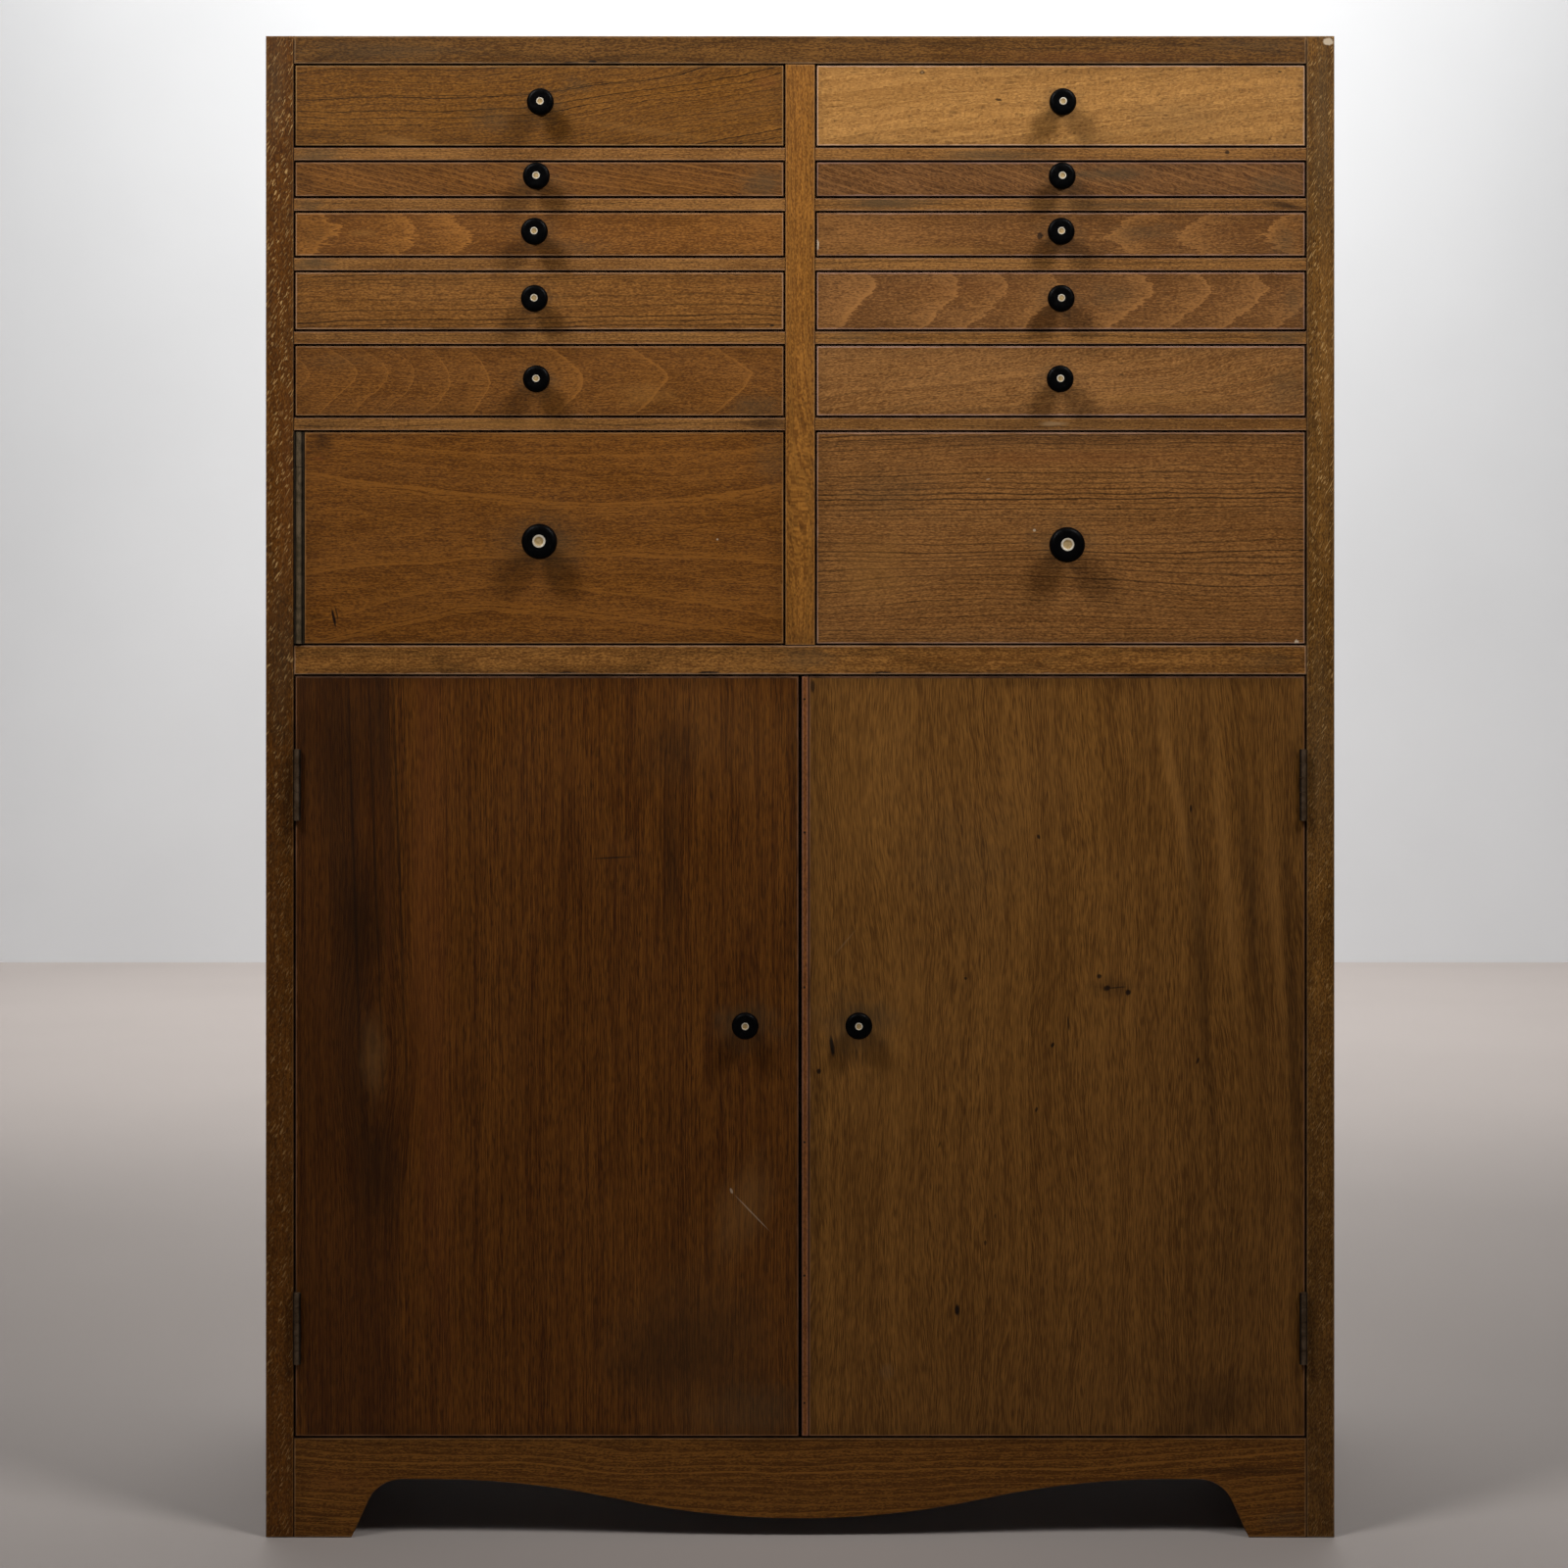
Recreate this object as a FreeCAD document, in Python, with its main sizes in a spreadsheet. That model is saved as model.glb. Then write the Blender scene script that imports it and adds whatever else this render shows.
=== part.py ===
# A haberdashery cabinet: eleven drawers and a small door over a two-door cupboard, on shaped feet.
# Millimetres, +Z up, the front towards -Y. The origin is on the floor, under the middle of the whole
# object, knobs included. Each sub-part is drawn about its own corner or centre and then placed.
import FreeCAD, Part
import math
import os
import re

import Sketcher

SIZES = {
    # The case
    "case_width": 762,
    "case_depth": 381,
    "side_thickness": 20,
    "top_thickness": 20,
    "middle_thickness": 21,
    "divider_thickness": 21.5,
    "bottom_thickness": 18,
    "back_thickness": 6,
    "back_rebate": 10,
    "arris": 0.5,
    # The openings of the drawer bank, from the top down, and of the cupboard
    "row_1_opening": 59.5,
    "row_2_opening": 26.5,
    "row_3_opening": 33,
    "row_4_opening": 43,
    "row_5_opening": 52,
    "row_6_opening": 153,
    "door_opening": 544,
    "rail_height": 9.5,
    "rail_depth": 45,
    "runner_width": 18,
    # The apron and its feet
    "apron_height": 71,
    "apron_thickness": 20,
    "foot_width": 41,
    "foot_lean": 11,
    "foot_lean_height": 24,
    "arch_height": 41.5,
    "arch_shoulder_radius": 27,
    "arch_flat": 22,
    "apron_dip_height": 13.5,
    "glue_block_width": 18,
    "glue_block_length": 60,
    # The cupboard shelf
    "shelf_thickness": 18,
    "shelf_rise": 229,
    "shelf_clearance": 0.5,
    "batten_width": 15,
    "batten_height": 20,
    "batten_setback": 75,
    # Doors
    "front_gap": 1,
    "meeting_gap": 2,
    "door_thickness": 20,
    "small_door_thickness": 17,
    "strip_width": 5,
    "door_stop_clearance": 0.3,
    # Drawers
    "drawer_back_space": 25,
    "drawer_front_thickness": 16,
    "drawer_side_thickness": 8,
    "drawer_back_thickness": 8,
    "drawer_bottom_thickness": 4,
    "groove_rise": 4,
    "groove_depth": 4,
    "drawer_side_clearance": 1,
    "drawer_run_clearance": 0.3,
    "drawer_head_clearance": 1.5,
    # Knobs
    "small_knob_radius": 9.6,
    "small_knob_projection": 16,
    "small_knob_head": 7,
    "small_knob_rounding": 3,
    "small_knob_neck_radius": 5.2,
    "small_knob_base_radius": 7,
    "small_stud_radius": 1.6,
    "small_disc_radius": 2.7,
    "big_knob_radius": 12.6,
    "big_knob_projection": 21,
    "big_knob_head": 9,
    "big_knob_rounding": 3.8,
    "big_knob_neck_radius": 6.8,
    "big_knob_base_radius": 9,
    "big_stud_radius": 2,
    "big_disc_radius": 4.7,
    "knob_base_thickness": 1.5,
    "disc_thickness": 1.5,
    "disc_recess": 0.4,
    "nut_radius": 5,
    "nut_thickness": 3,
    "stud_tail": 1.5,
    "door_knob_height": 295,
    "left_door_knob_inset": 38,
    "right_door_knob_inset": 40.5,
    "small_door_knob_drop": 3.5,
    "deep_drawer_knob_drop": 5.8,
    # How far each knob stands right of the middle of its bay
    "left_1_knob_shift": 1.7,
    "left_2_knob_shift": -1.1,
    "left_3_knob_shift": -2.5,
    "left_4_knob_shift": -2.5,
    "left_5_knob_shift": -1.1,
    "left_6_knob_shift": 1.4,
    "right_1_knob_shift": 0.2,
    "right_2_knob_shift": -0.3,
    "right_3_knob_shift": -1,
    "right_4_knob_shift": -1,
    "right_5_knob_shift": -1.7,
    "right_6_knob_shift": 2.8,
    # The four butt hinges of the cupboard doors
    "butt_length": 51,
    "butt_edge_distance": 53,
    "butt_knuckle_radius": 2.8,
    "butt_pin_radius": 1.2,
    "butt_leaf_thickness": 1.2,
    "butt_leaf_width": 17,
    "butt_leaf_spread": 0.3,
    # The piano hinge of the small door
    "piano_knuckle_radius": 2.5,
    "piano_pin_radius": 1,
    "piano_leaf_thickness": 0.9,
    "piano_leaf_width": 15,
    "hinge_clearance": 0.3,
    "pin_clearance": 0.05,
    # Bullet catches
    "catch_radius": 4,
    "catch_length": 11,
    "catch_ball_radius": 2.5,
    "catch_ball_proud": 0.4,
    "catch_from_middle": 60,
}
ROWS = 6
BANKS = {"left": -1, "right": 1}
BUTT_KNUCKLES = 5
PIANO_KNUCKLES = 6
QUARTER_TURN = 90
NEAR = 0.001

doc = FreeCAD.newDocument("haberdashery_cabinet")
sheet = doc.addObject("Spreadsheet::Sheet", "sizes")
for line, (alias, number) in enumerate(SIZES.items(), 1):
    sheet.set(f"A{line}", alias)
    sheet.set(f"B{line}", str(number))
    sheet.setAlias(f"B{line}", alias)
doc.recompute()
subparts = []

# Widths and places across
inner_width = "(case_width - 2 * side_thickness)"
bay_width = f"(({inner_width} - divider_thickness) / 2)"
bay_centre = f"((divider_thickness + {bay_width}) / 2)"

# Depths: distances behind the case's front plane, and that plane itself
front_plane = "((big_knob_projection - case_depth) / 2)"
inner_depth = "(case_depth - back_thickness)"
drawer_length = f"({inner_depth} - drawer_back_space)"

# Heights
door_head = "(apron_height + door_opening)"
deck = f"({door_head} + middle_thickness)"
row_floor = {}
level = deck
for row in range(ROWS, 0, -1):
    row_floor[row] = level
    level = f"({level} + row_{row}_opening)"
    if row > 1:
        level = f"({level} + rail_height)"
ceiling = level
case_height = f"({ceiling} + top_thickness)"


def full(expression):
    """The expression with the sheet's name before each alias."""
    return re.sub(r"[a-z]\w+", lambda word: "sizes." + word[0] if word[0] in SIZES else word[0], expression)


def value(expression):
    """The expression's number."""
    return float(doc.sizes.evalExpression(expression))


def bind(thing, **sizes):
    """Bind properties of an object to expressions over the sheet."""
    for name, expression in sizes.items():
        thing.setExpression(name, full(expression))
    return thing


def put(thing, x="0", y="0", z="0"):
    """Bind an object's place to expressions over the sheet."""
    for axis, place in zip("xyz", (x, y, z)):
        thing.setExpression(f"Placement.Base.{axis}", full(place))
    return thing


def turned(thing, axis, angle):
    """Turn an object about one of its own axes before it is placed."""
    thing.Placement = FreeCAD.Placement(FreeCAD.Vector(), FreeCAD.Rotation(FreeCAD.Vector(*axis), angle))
    return thing


def subpart(label, thing):
    """List an object as one of the cabinet's named sub-parts."""
    thing.Label = label
    subparts.append(thing)
    return thing


def span(thing, x, y, z):
    """Bind a block to its lower and upper limit along each axis."""
    bind(thing, Length=f"({x[1]}) - ({x[0]})", Width=f"({y[1]}) - ({y[0]})", Height=f"({z[1]}) - ({z[0]})")
    return put(thing, x[0], y[0], z[0])


def handed(hand, low, high):
    """The limits low to high across, counted from the left, or mirrored for the right hand."""
    return (low, high) if hand < 0 else (f"0 - ({high})", f"0 - ({low})")


def block(name, x, y, z):
    """A plain block."""
    return span(doc.addObject("Part::Box", name), x, y, z)


def rod(name, radius, height):
    """An upright cylinder."""
    return bind(doc.addObject("Part::Cylinder", name), Radius=radius, Height=height)


def fused(name, shapes):
    """Several shapes joined into one."""
    thing = doc.addObject("Part::MultiFuse", name)
    thing.Shapes = shapes
    return thing


def less(name, base, tool):
    """A shape with another cut away."""
    thing = doc.addObject("Part::Cut", name)
    thing.Base = base
    thing.Tool = tool
    return thing


def together(name, shapes):
    """Separate solids kept as one object."""
    thing = doc.addObject("Part::Compound", name)
    thing.Links = shapes
    return thing


def board(name, x, y, z):
    """A sawn board whose front edges are eased."""
    body = doc.addObject("PartDesign::Body", name)
    blank = span(body.newObject("PartDesign::AdditiveBox", f"{name}_blank"), x, y, z)
    doc.recompute()
    front = blank.Shape.BoundBox.YMin
    edges = enumerate(blank.Shape.Edges, 1)
    eased = body.newObject("PartDesign::Chamfer", f"{name}_arris")
    eased.Base = (blank, [f"Edge{n}" for n, edge in edges if edge.BoundBox.YMax < front + NEAR])
    bind(eased, Size="arris")
    return body


def notch(body, x, y, z):
    """A square-cornered recess in a board."""
    span(body.newObject("PartDesign::SubtractiveBox", f"{body.Name}_notch"), x, y, z)


def bore(body, axis, angle, radius, depth, place):
    """A round hole in a board, along Z turned by the angle about the axis."""
    hole = body.newObject("PartDesign::SubtractiveCylinder", f"{body.Name}_bore")
    put(bind(turned(hole, axis, angle), Radius=radius, Height=depth), *place)


def outline(body, plane, path):
    """A closed sketch through (across, up) points. A third item is the radius of the arc that leads to
    the next point, positive where it bulges to the right of the way there."""
    sketch = body.newObject("Sketcher::SketchObject", f"{body.Name}_outline")
    origin = [item for item in body.Origin.OriginFeatures if item.Role == plane]
    sketch.AttachmentSupport = [(origin[0], "")]
    sketch.MapMode = "FlatFace"
    points = [FreeCAD.Vector(value(point[0]), value(point[1]), 0) for point in path]
    starts = []
    ends = []
    for number, point in enumerate(path):
        begin = points[number]
        finish = points[(number + 1) % len(points)]
        curve = Part.LineSegment(begin, finish)
        if len(point) > 2:
            radius = value(point[2])
            half = (finish - begin) * 0.5
            rise = abs(radius) - math.sqrt(radius * radius - half.Length * half.Length)
            right = FreeCAD.Vector(half.y, -half.x, 0).normalize() * math.copysign(rise, radius)
            left_end, right_end = (begin, finish) if radius > 0 else (finish, begin)
            curve = Part.Arc(left_end, begin + half + right, right_end)
        index = sketch.addGeometry(curve)
        forward = sketch.Geometry[index].StartPoint.distanceToPoint(begin) < NEAR
        starts.append((index, 1 if forward else 2))
        ends.append((index, 2 if forward else 1))
    for number, point in enumerate(path):
        sketch.addConstraint(Sketcher.Constraint("Coincident", *ends[number - 1], *starts[number]))
        for kind, place, number_now in zip(("DistanceX", "DistanceY"), point, points[number]):
            rule = sketch.addConstraint(Sketcher.Constraint(kind, -1, 1, *starts[number], number_now))
            sketch.setExpression(f"Constraints[{rule}]", full(place))
        if len(point) > 2:
            radius = abs(value(point[2]))
            rule = sketch.addConstraint(Sketcher.Constraint("Radius", starts[number][0], radius))
            sketch.setExpression(f"Constraints[{rule}]", full(f"abs({point[2]})"))
    return sketch


def turning(name, path):
    """A piece turned about Y from a half outline of (radius, distance) points."""
    body = doc.addObject("PartDesign::Body", name)
    sketch = outline(body, "XY_Plane", path)
    lathe = body.newObject("PartDesign::Revolution", f"{name}_turned")
    lathe.Profile = sketch
    lathe.ReferenceAxis = (sketch, ["V_Axis"])
    return body


# The case


def make_back():
    """The plywood back, let into rebates in the sides and the top."""
    reach = f"({inner_width} / 2 + back_rebate)"
    back = block(
        "back_panel",
        (f"0 - {reach}", reach),
        (inner_depth, "case_depth"),
        ("apron_height - bottom_thickness", f"{ceiling} + back_rebate"),
    )
    subpart("back_panel", put(back, f"0 - {reach}", f"{front_plane} + {inner_depth}", "apron_height - bottom_thickness"))


def make_sides():
    """The two sides, full height to the floor, rebated for the back."""
    for bank, hand in BANKS.items():
        side = board(f"{bank}_side", ("0", "side_thickness"), ("0", "case_depth"), ("0", case_height))
        rebate = ("0", "back_rebate") if hand > 0 else ("side_thickness - back_rebate", "side_thickness")
        low = "apron_height - bottom_thickness"
        notch(side, rebate, (inner_depth, "case_depth"), (low, f"{ceiling} + back_rebate"))
        left = "0 - case_width / 2" if hand < 0 else "case_width / 2 - side_thickness"
        subpart(f"{bank}_side", put(side, left, front_plane))


def make_boards():
    """The top, middle and bottom boards between the sides, and the upright between the drawer banks."""
    across = (f"0 - {inner_width} / 2", f"{inner_width} / 2")
    top = board("top_board", across, ("0", "case_depth"), ("0", "top_thickness"))
    notch(top, across, (inner_depth, "case_depth"), ("0", "back_rebate"))
    subpart("top_board", put(top, "0", front_plane, ceiling))
    middle = board("middle_board", across, ("0", inner_depth), ("0", "middle_thickness"))
    for hand in BANKS.values():
        place = (f"{hand} * catch_from_middle", "door_thickness / 2", "0")
        bore(middle, (0, 0, 1), 0, "catch_radius", "catch_length", place)
    subpart("middle_board", put(middle, "0", front_plane, door_head))
    bottom = board("bottom_board", across, ("apron_thickness", inner_depth), ("0", "bottom_thickness"))
    subpart("bottom_board", put(bottom, "0", front_plane, "apron_height - bottom_thickness"))
    half = "divider_thickness / 2"
    divider = board("centre_divider", (f"0 - {half}", half), ("0", inner_depth), ("0", f"{ceiling} - {deck}"))
    place = (f"0 - {half}", "small_door_thickness / 2", "row_6_opening / 2")
    bore(divider, (0, 1, 0), QUARTER_TURN, "catch_radius", "catch_length", place)
    subpart("centre_divider", put(divider, "0", front_plane, deck))


def make_apron():
    """The shaped apron, with a foot at each end and a long dip in its middle."""
    lean = "(foot_width + foot_lean)"
    drop = "(arch_height - foot_lean_height)"
    shoulder = f"sqrt(arch_shoulder_radius ^ 2 - (arch_shoulder_radius - {drop}) ^ 2)"
    crown = f"({lean} + {shoulder})"
    wave = f"({crown} + arch_flat)"
    reach = f"(({inner_width} / 2 - {wave}) / 2)"
    rise = "((arch_height - apron_dip_height) / 2)"
    bend = f"(({reach} ^ 2 + {rise} ^ 2) / (2 * {rise}))"
    turn = f"(arch_height - {rise})"
    right_half = [
        (f"{inner_width} - {wave} - {reach}", turn, f"0 - {bend}"),
        (f"{inner_width} - {wave}", "arch_height"),
        (f"{inner_width} - {crown}", "arch_height", "0 - arch_shoulder_radius"),
        (f"{inner_width} - {lean}", "foot_lean_height"),
        (f"{inner_width} - foot_width", "0"),
        (inner_width, "0"),
        (inner_width, "apron_height"),
    ]
    left_half = [
        ("0", "apron_height"),
        ("0", "0"),
        ("foot_width", "0"),
        (lean, "foot_lean_height", "0 - arch_shoulder_radius"),
        (crown, "arch_height"),
        (wave, "arch_height", f"0 - {bend}"),
        (f"{wave} + {reach}", turn, bend),
    ]
    body = doc.addObject("PartDesign::Body", "apron")
    plank = body.newObject("PartDesign::Pad", "apron_plank")
    plank.Profile = outline(body, "XZ_Plane", left_half + right_half)
    plank.Reversed = True
    bind(plank, Length="apron_thickness")
    subpart("apron", put(body, f"0 - {inner_width} / 2", front_plane))


def make_glue_blocks():
    """Two rubbed blocks in the corner behind the apron, under the bottom board."""
    blocks = []
    for bank, hand in BANKS.items():
        rubbed = doc.addObject("Part::Wedge", f"{bank}_glue_block")
        for name in ("Xmin", "Ymin", "Zmin", "X2min", "Z2min", "X2max"):
            setattr(rubbed, name, 0)
        bind(rubbed, Xmax="glue_block_width", Ymax="glue_block_width", Zmax="glue_block_length")
        bind(rubbed, Z2max="glue_block_length")
        rubbed.Placement.Rotation = FreeCAD.Rotation(
            FreeCAD.Vector(0, 1, 0), FreeCAD.Vector(0, 0, -1), FreeCAD.Vector(-1, 0, 0), "XYZ"
        )
        middle = f"{hand} * {inner_width} / 4 + glue_block_length / 2"
        blocks.append(put(rubbed, middle, "apron_thickness", "apron_height - bottom_thickness"))
    subpart("glue_blocks", put(together("glue_blocks", blocks), "0", front_plane))


def make_bank_timber():
    """The rails between the drawers and, behind them, the runners that carry the drawers."""
    rails = []
    runners = []
    for bank, hand in BANKS.items():
        left = f"({hand} * {bay_centre} - {bay_width} / 2)"
        right = f"({left} + {bay_width})"
        for row in range(1, ROWS):
            height = (f"{row_floor[row]} - rail_height", row_floor[row])
            rails.append(board(f"{bank}_rail_{row}", (left, right), ("0", "rail_depth"), height))
            deep = ("rail_depth", inner_depth)
            runners.append(block(f"{bank}_near_runner_{row}", (left, f"{left} + runner_width"), deep, height))
            runners.append(block(f"{bank}_far_runner_{row}", (f"{right} - runner_width", right), deep, height))
    subpart("drawer_rails", put(together("drawer_rails", rails), "0", front_plane))
    subpart("drawer_runners", put(together("drawer_runners", runners), "0", front_plane))


def make_shelf():
    """The cupboard shelf, whose front edge stops the doors, on a batten at each side."""
    reach = f"({inner_width} / 2 - shelf_clearance)"
    deep = ("door_thickness + door_stop_clearance", inner_depth)
    low = "(apron_height + shelf_rise)"
    shelf = board("cupboard_shelf", (f"0 - {reach}", reach), deep, (low, f"{low} + shelf_thickness"))
    subpart("cupboard_shelf", put(shelf, "0", front_plane))
    battens = []
    for bank, hand in BANKS.items():
        outside = f"0 - {inner_width} / 2"
        across = handed(hand, outside, f"{outside} + batten_width")
        length = ("batten_setback", inner_depth)
        battens.append(block(f"{bank}_batten", across, length, (f"{low} - batten_height", low)))
    subpart("shelf_battens", put(together("shelf_battens", battens), "0", front_plane))


def make_catches():
    """Bullet catches: two over the cupboard doors and one beside the small door."""
    catches = []
    over_doors = ((0, 0, 1), 0, "door_thickness / 2", door_head)
    places = [(f"{hand} * catch_from_middle", *over_doors) for hand in BANKS.values()]
    middle = f"{row_floor[ROWS]} + row_6_opening / 2"
    places.append(("0 - divider_thickness / 2", (0, 1, 0), QUARTER_TURN, "small_door_thickness / 2", middle))
    for number, (x, axis, angle, y, z) in enumerate(places, 1):
        depth = "catch_ball_radius - catch_ball_proud"
        seat = doc.addObject("Part::Sphere", f"catch_seat_{number}")
        put(bind(seat, Radius="catch_ball_radius + pin_clearance"), z=depth)
        ball = doc.addObject("Part::Sphere", f"catch_ball_{number}")
        put(bind(ball, Radius="catch_ball_radius"), z=depth)
        sleeve = less(f"catch_sleeve_{number}", rod(f"catch_rod_{number}", "catch_radius", "catch_length"), seat)
        catches.append(put(turned(together(f"catch_{number}", [sleeve, ball]), axis, angle), x, y, z))
    subpart("bullet_catches", put(together("bullet_catches", catches), "0", front_plane))


# Knobs


def make_knob(label, size, thickness, x, z):
    """A turned knob held by a brass stud whose head shows in its face, with a nut behind the wood."""
    long = f"{size}_knob_projection"
    head = f"{size}_knob_head"
    face = f"({long} - disc_recess)"
    radius = f"{size}_knob_radius"
    rim = f"{size}_knob_rounding"
    waist = f"({radius} - {rim})"
    neck = f"{size}_knob_neck_radius"
    flange = f"{size}_knob_base_radius"
    stud = f"{size}_stud_radius"
    disc = f"{size}_disc_radius"
    seat = f"({face} - disc_thickness)"
    knob = turning(
        f"{label}_turned_knob",
        [
            (stud, "0"),
            (flange, "0"),
            (flange, "knob_base_thickness"),
            (neck, "knob_base_thickness + 1"),
            (neck, f"{long} - {head} - 1"),
            (waist, f"{long} - {head}", rim),
            (radius, f"{long} - {head} + {rim}"),
            (radius, f"{long} - {rim}", rim),
            (waist, long),
            (f"{disc} + 0.8", long),
            (disc, face),
            (disc, seat),
            (stud, seat),
        ],
    )
    tail = f"(0 - {thickness} - nut_thickness - stud_tail)"
    bolt = turning(
        f"{label}_stud",
        [("0", tail), (stud, tail), (stud, seat), (disc, seat), (disc, face), ("0", face)],
    )
    hexagon = doc.addObject("Part::Prism", f"{label}_nut_blank")
    bind(hexagon, Circumradius="nut_radius", Height="nut_thickness")
    nut = less(f"{label}_nut", hexagon, rod(f"{label}_nut_bore", stud, "nut_thickness"))
    put(turned(nut, (1, 0, 0), QUARTER_TURN), y=f"0 - {thickness}")
    whole = turned(together(label, [knob, bolt, nut]), (0, 0, 1), 2 * QUARTER_TURN)
    subpart(label, put(whole, x, front_plane, z))


# Drawers


def make_drawer(bank, hand, row):
    """A drawer: its front with a knob, two sides, a back, and a bottom let into grooves."""
    name = f"{bank}_drawer_{row}"
    opening = f"row_{row}_opening"
    centre = f"{hand} * {bay_centre}"
    half = f"({bay_width} / 2 - front_gap)"
    high = ("front_gap", f"{opening} - front_gap")
    outer = f"({bay_width} / 2 - drawer_side_clearance)"
    inner = f"({outer} - drawer_side_thickness)"
    thick = "drawer_front_thickness"
    low = "drawer_run_clearance"
    panel_low = f"({low} + groove_rise)"
    panel_high = f"({panel_low} + drawer_bottom_thickness)"
    across = (f"0 - {inner} - groove_depth", f"{inner} + groove_depth")
    under = (f"{thick} - groove_depth", drawer_length)

    front = board(f"{name}_front", (f"0 - {half}", half), ("0", thick), high)
    notch(front, across, (f"{thick} - groove_depth", thick), (panel_low, panel_high))
    drop = " - deep_drawer_knob_drop" if row == ROWS else ""
    knob_x = f"{bank}_{row}_knob_shift"
    knob_z = f"{opening} / 2{drop}"
    size = "big" if row == ROWS else "small"
    bore(front, (1, 0, 0), -QUARTER_TURN, f"{size}_stud_radius", thick, (knob_x, "0", knob_z))
    subpart(f"{name}_front", put(front, centre, front_plane, row_floor[row]))

    bottom = block(f"{name}_bottom", across, under, (panel_low, panel_high))
    sides = []
    for side_hand in BANKS.values():
        limits = handed(side_hand, f"0 - {outer}", f"0 - {inner}")
        tall = (low, f"{opening} - drawer_head_clearance")
        blank = block(f"{name}_side_blank", limits, (thick, drawer_length), tall)
        sides.append(less(f"{name}_side", blank, bottom))
    back_limits = (f"{drawer_length} - drawer_back_thickness", drawer_length)
    tall = (panel_high, f"{opening} - drawer_head_clearance")
    back = block(f"{name}_back", (f"0 - {inner}", inner), back_limits, tall)
    box = together(f"{name}_box", [*sides, back, bottom])
    subpart(f"{name}_box", put(box, centre, front_plane, row_floor[row]))
    make_knob(f"{name}_knob", size, thick, f"{centre} + {knob_x}", f"{row_floor[row]} + {knob_z}")


# Hinges, drawn with the side's inner face at zero across and the front plane at zero deep


def knuckles(name, kind, hand, length, count, first, axis):
    """Every other knuckle of a hinge, starting from the bottom one or the one above it."""
    pitch = f"({length} / {count})"
    rings = []
    for number in range(first, count, 2):
        tall = f"{pitch} - hinge_clearance"
        ring = rod(f"{name}_knuckle_{number}", f"{kind}_knuckle_radius", tall)
        rings.append(put(ring, f"{-hand} * {axis[0]}", axis[1], f"{pitch} * {number} + hinge_clearance / 2"))
    return rings


def make_leaf(name, kind, hand, length, count, first, axis, plate, tab):
    """One leaf: a plate, a tab to each of its knuckles, and the bore for the pin."""
    pitch = f"({length} / {count})"
    shapes = knuckles(name, kind, hand, length, count, first, axis)
    flat = handed(hand, *plate)
    shapes.append(block(f"{name}_plate", flat, ("0", f"{kind}_leaf_width"), ("0", length)))
    for number in range(first, count, 2):
        tall = (f"{pitch} * {number} + hinge_clearance / 2", f"{pitch} * {number + 1} - hinge_clearance / 2")
        shapes.append(block(f"{name}_tab_{number}", handed(hand, *tab[0]), tab[1], tall))
    hole = rod(f"{name}_bore", f"{kind}_pin_radius + pin_clearance", length)
    put(hole, f"{-hand} * {axis[0]}", axis[1])
    return less(name, fused(f"{name}_forged", shapes), hole)


BUTT_AXIS = ("butt_knuckle_radius", "(0 - butt_knuckle_radius - hinge_clearance)")
BUTT_DOOR_PLATE = ("butt_leaf_thickness + butt_leaf_spread", "2 * butt_leaf_thickness + butt_leaf_spread")
PIANO_AXIS = ("(piano_leaf_thickness + hinge_clearance + piano_knuckle_radius)", "0")
PIANO_REACH = f"(2 * {PIANO_AXIS[0]})"


def butt_floors():
    """The heights of the lower ends of a door's two butt hinges."""
    return ("apron_height + butt_edge_distance", f"{door_head} - butt_edge_distance - butt_length")


def butt_leaf(name, hand, on_door):
    """One leaf of a butt hinge."""
    plate = BUTT_DOOR_PLATE if on_door else ("0", "butt_leaf_thickness")
    start = f"{BUTT_AXIS[1]} + (butt_pin_radius + butt_knuckle_radius) / 2" if on_door else BUTT_AXIS[1]
    tab = (plate, (start, "0"))
    return make_leaf(name, "butt", hand, "butt_length", BUTT_KNUCKLES, int(on_door), BUTT_AXIS, plate, tab)


def piano_leaf(name, on_door):
    """One leaf of the piano hinge."""
    plate = ("0", "piano_leaf_thickness")
    wall = "(piano_pin_radius + piano_knuckle_radius) / 2"
    tab_across = ("0", f"{PIANO_AXIS[0]} - {wall}")
    if on_door:
        plate = (f"{PIANO_REACH} - piano_leaf_thickness", PIANO_REACH)
        tab_across = (f"{PIANO_AXIS[0]} + {wall}", PIANO_REACH)
    tab = (tab_across, ("0", "piano_leaf_thickness"))
    tall = "(row_6_opening - 2 * front_gap)"
    return make_leaf(name, "piano", -1, tall, PIANO_KNUCKLES, int(on_door), PIANO_AXIS, plate, tab)


def hinge_side(hand):
    """The place across of the inner face of the side on that hand."""
    return f"{hand} * {inner_width} / 2"


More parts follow.
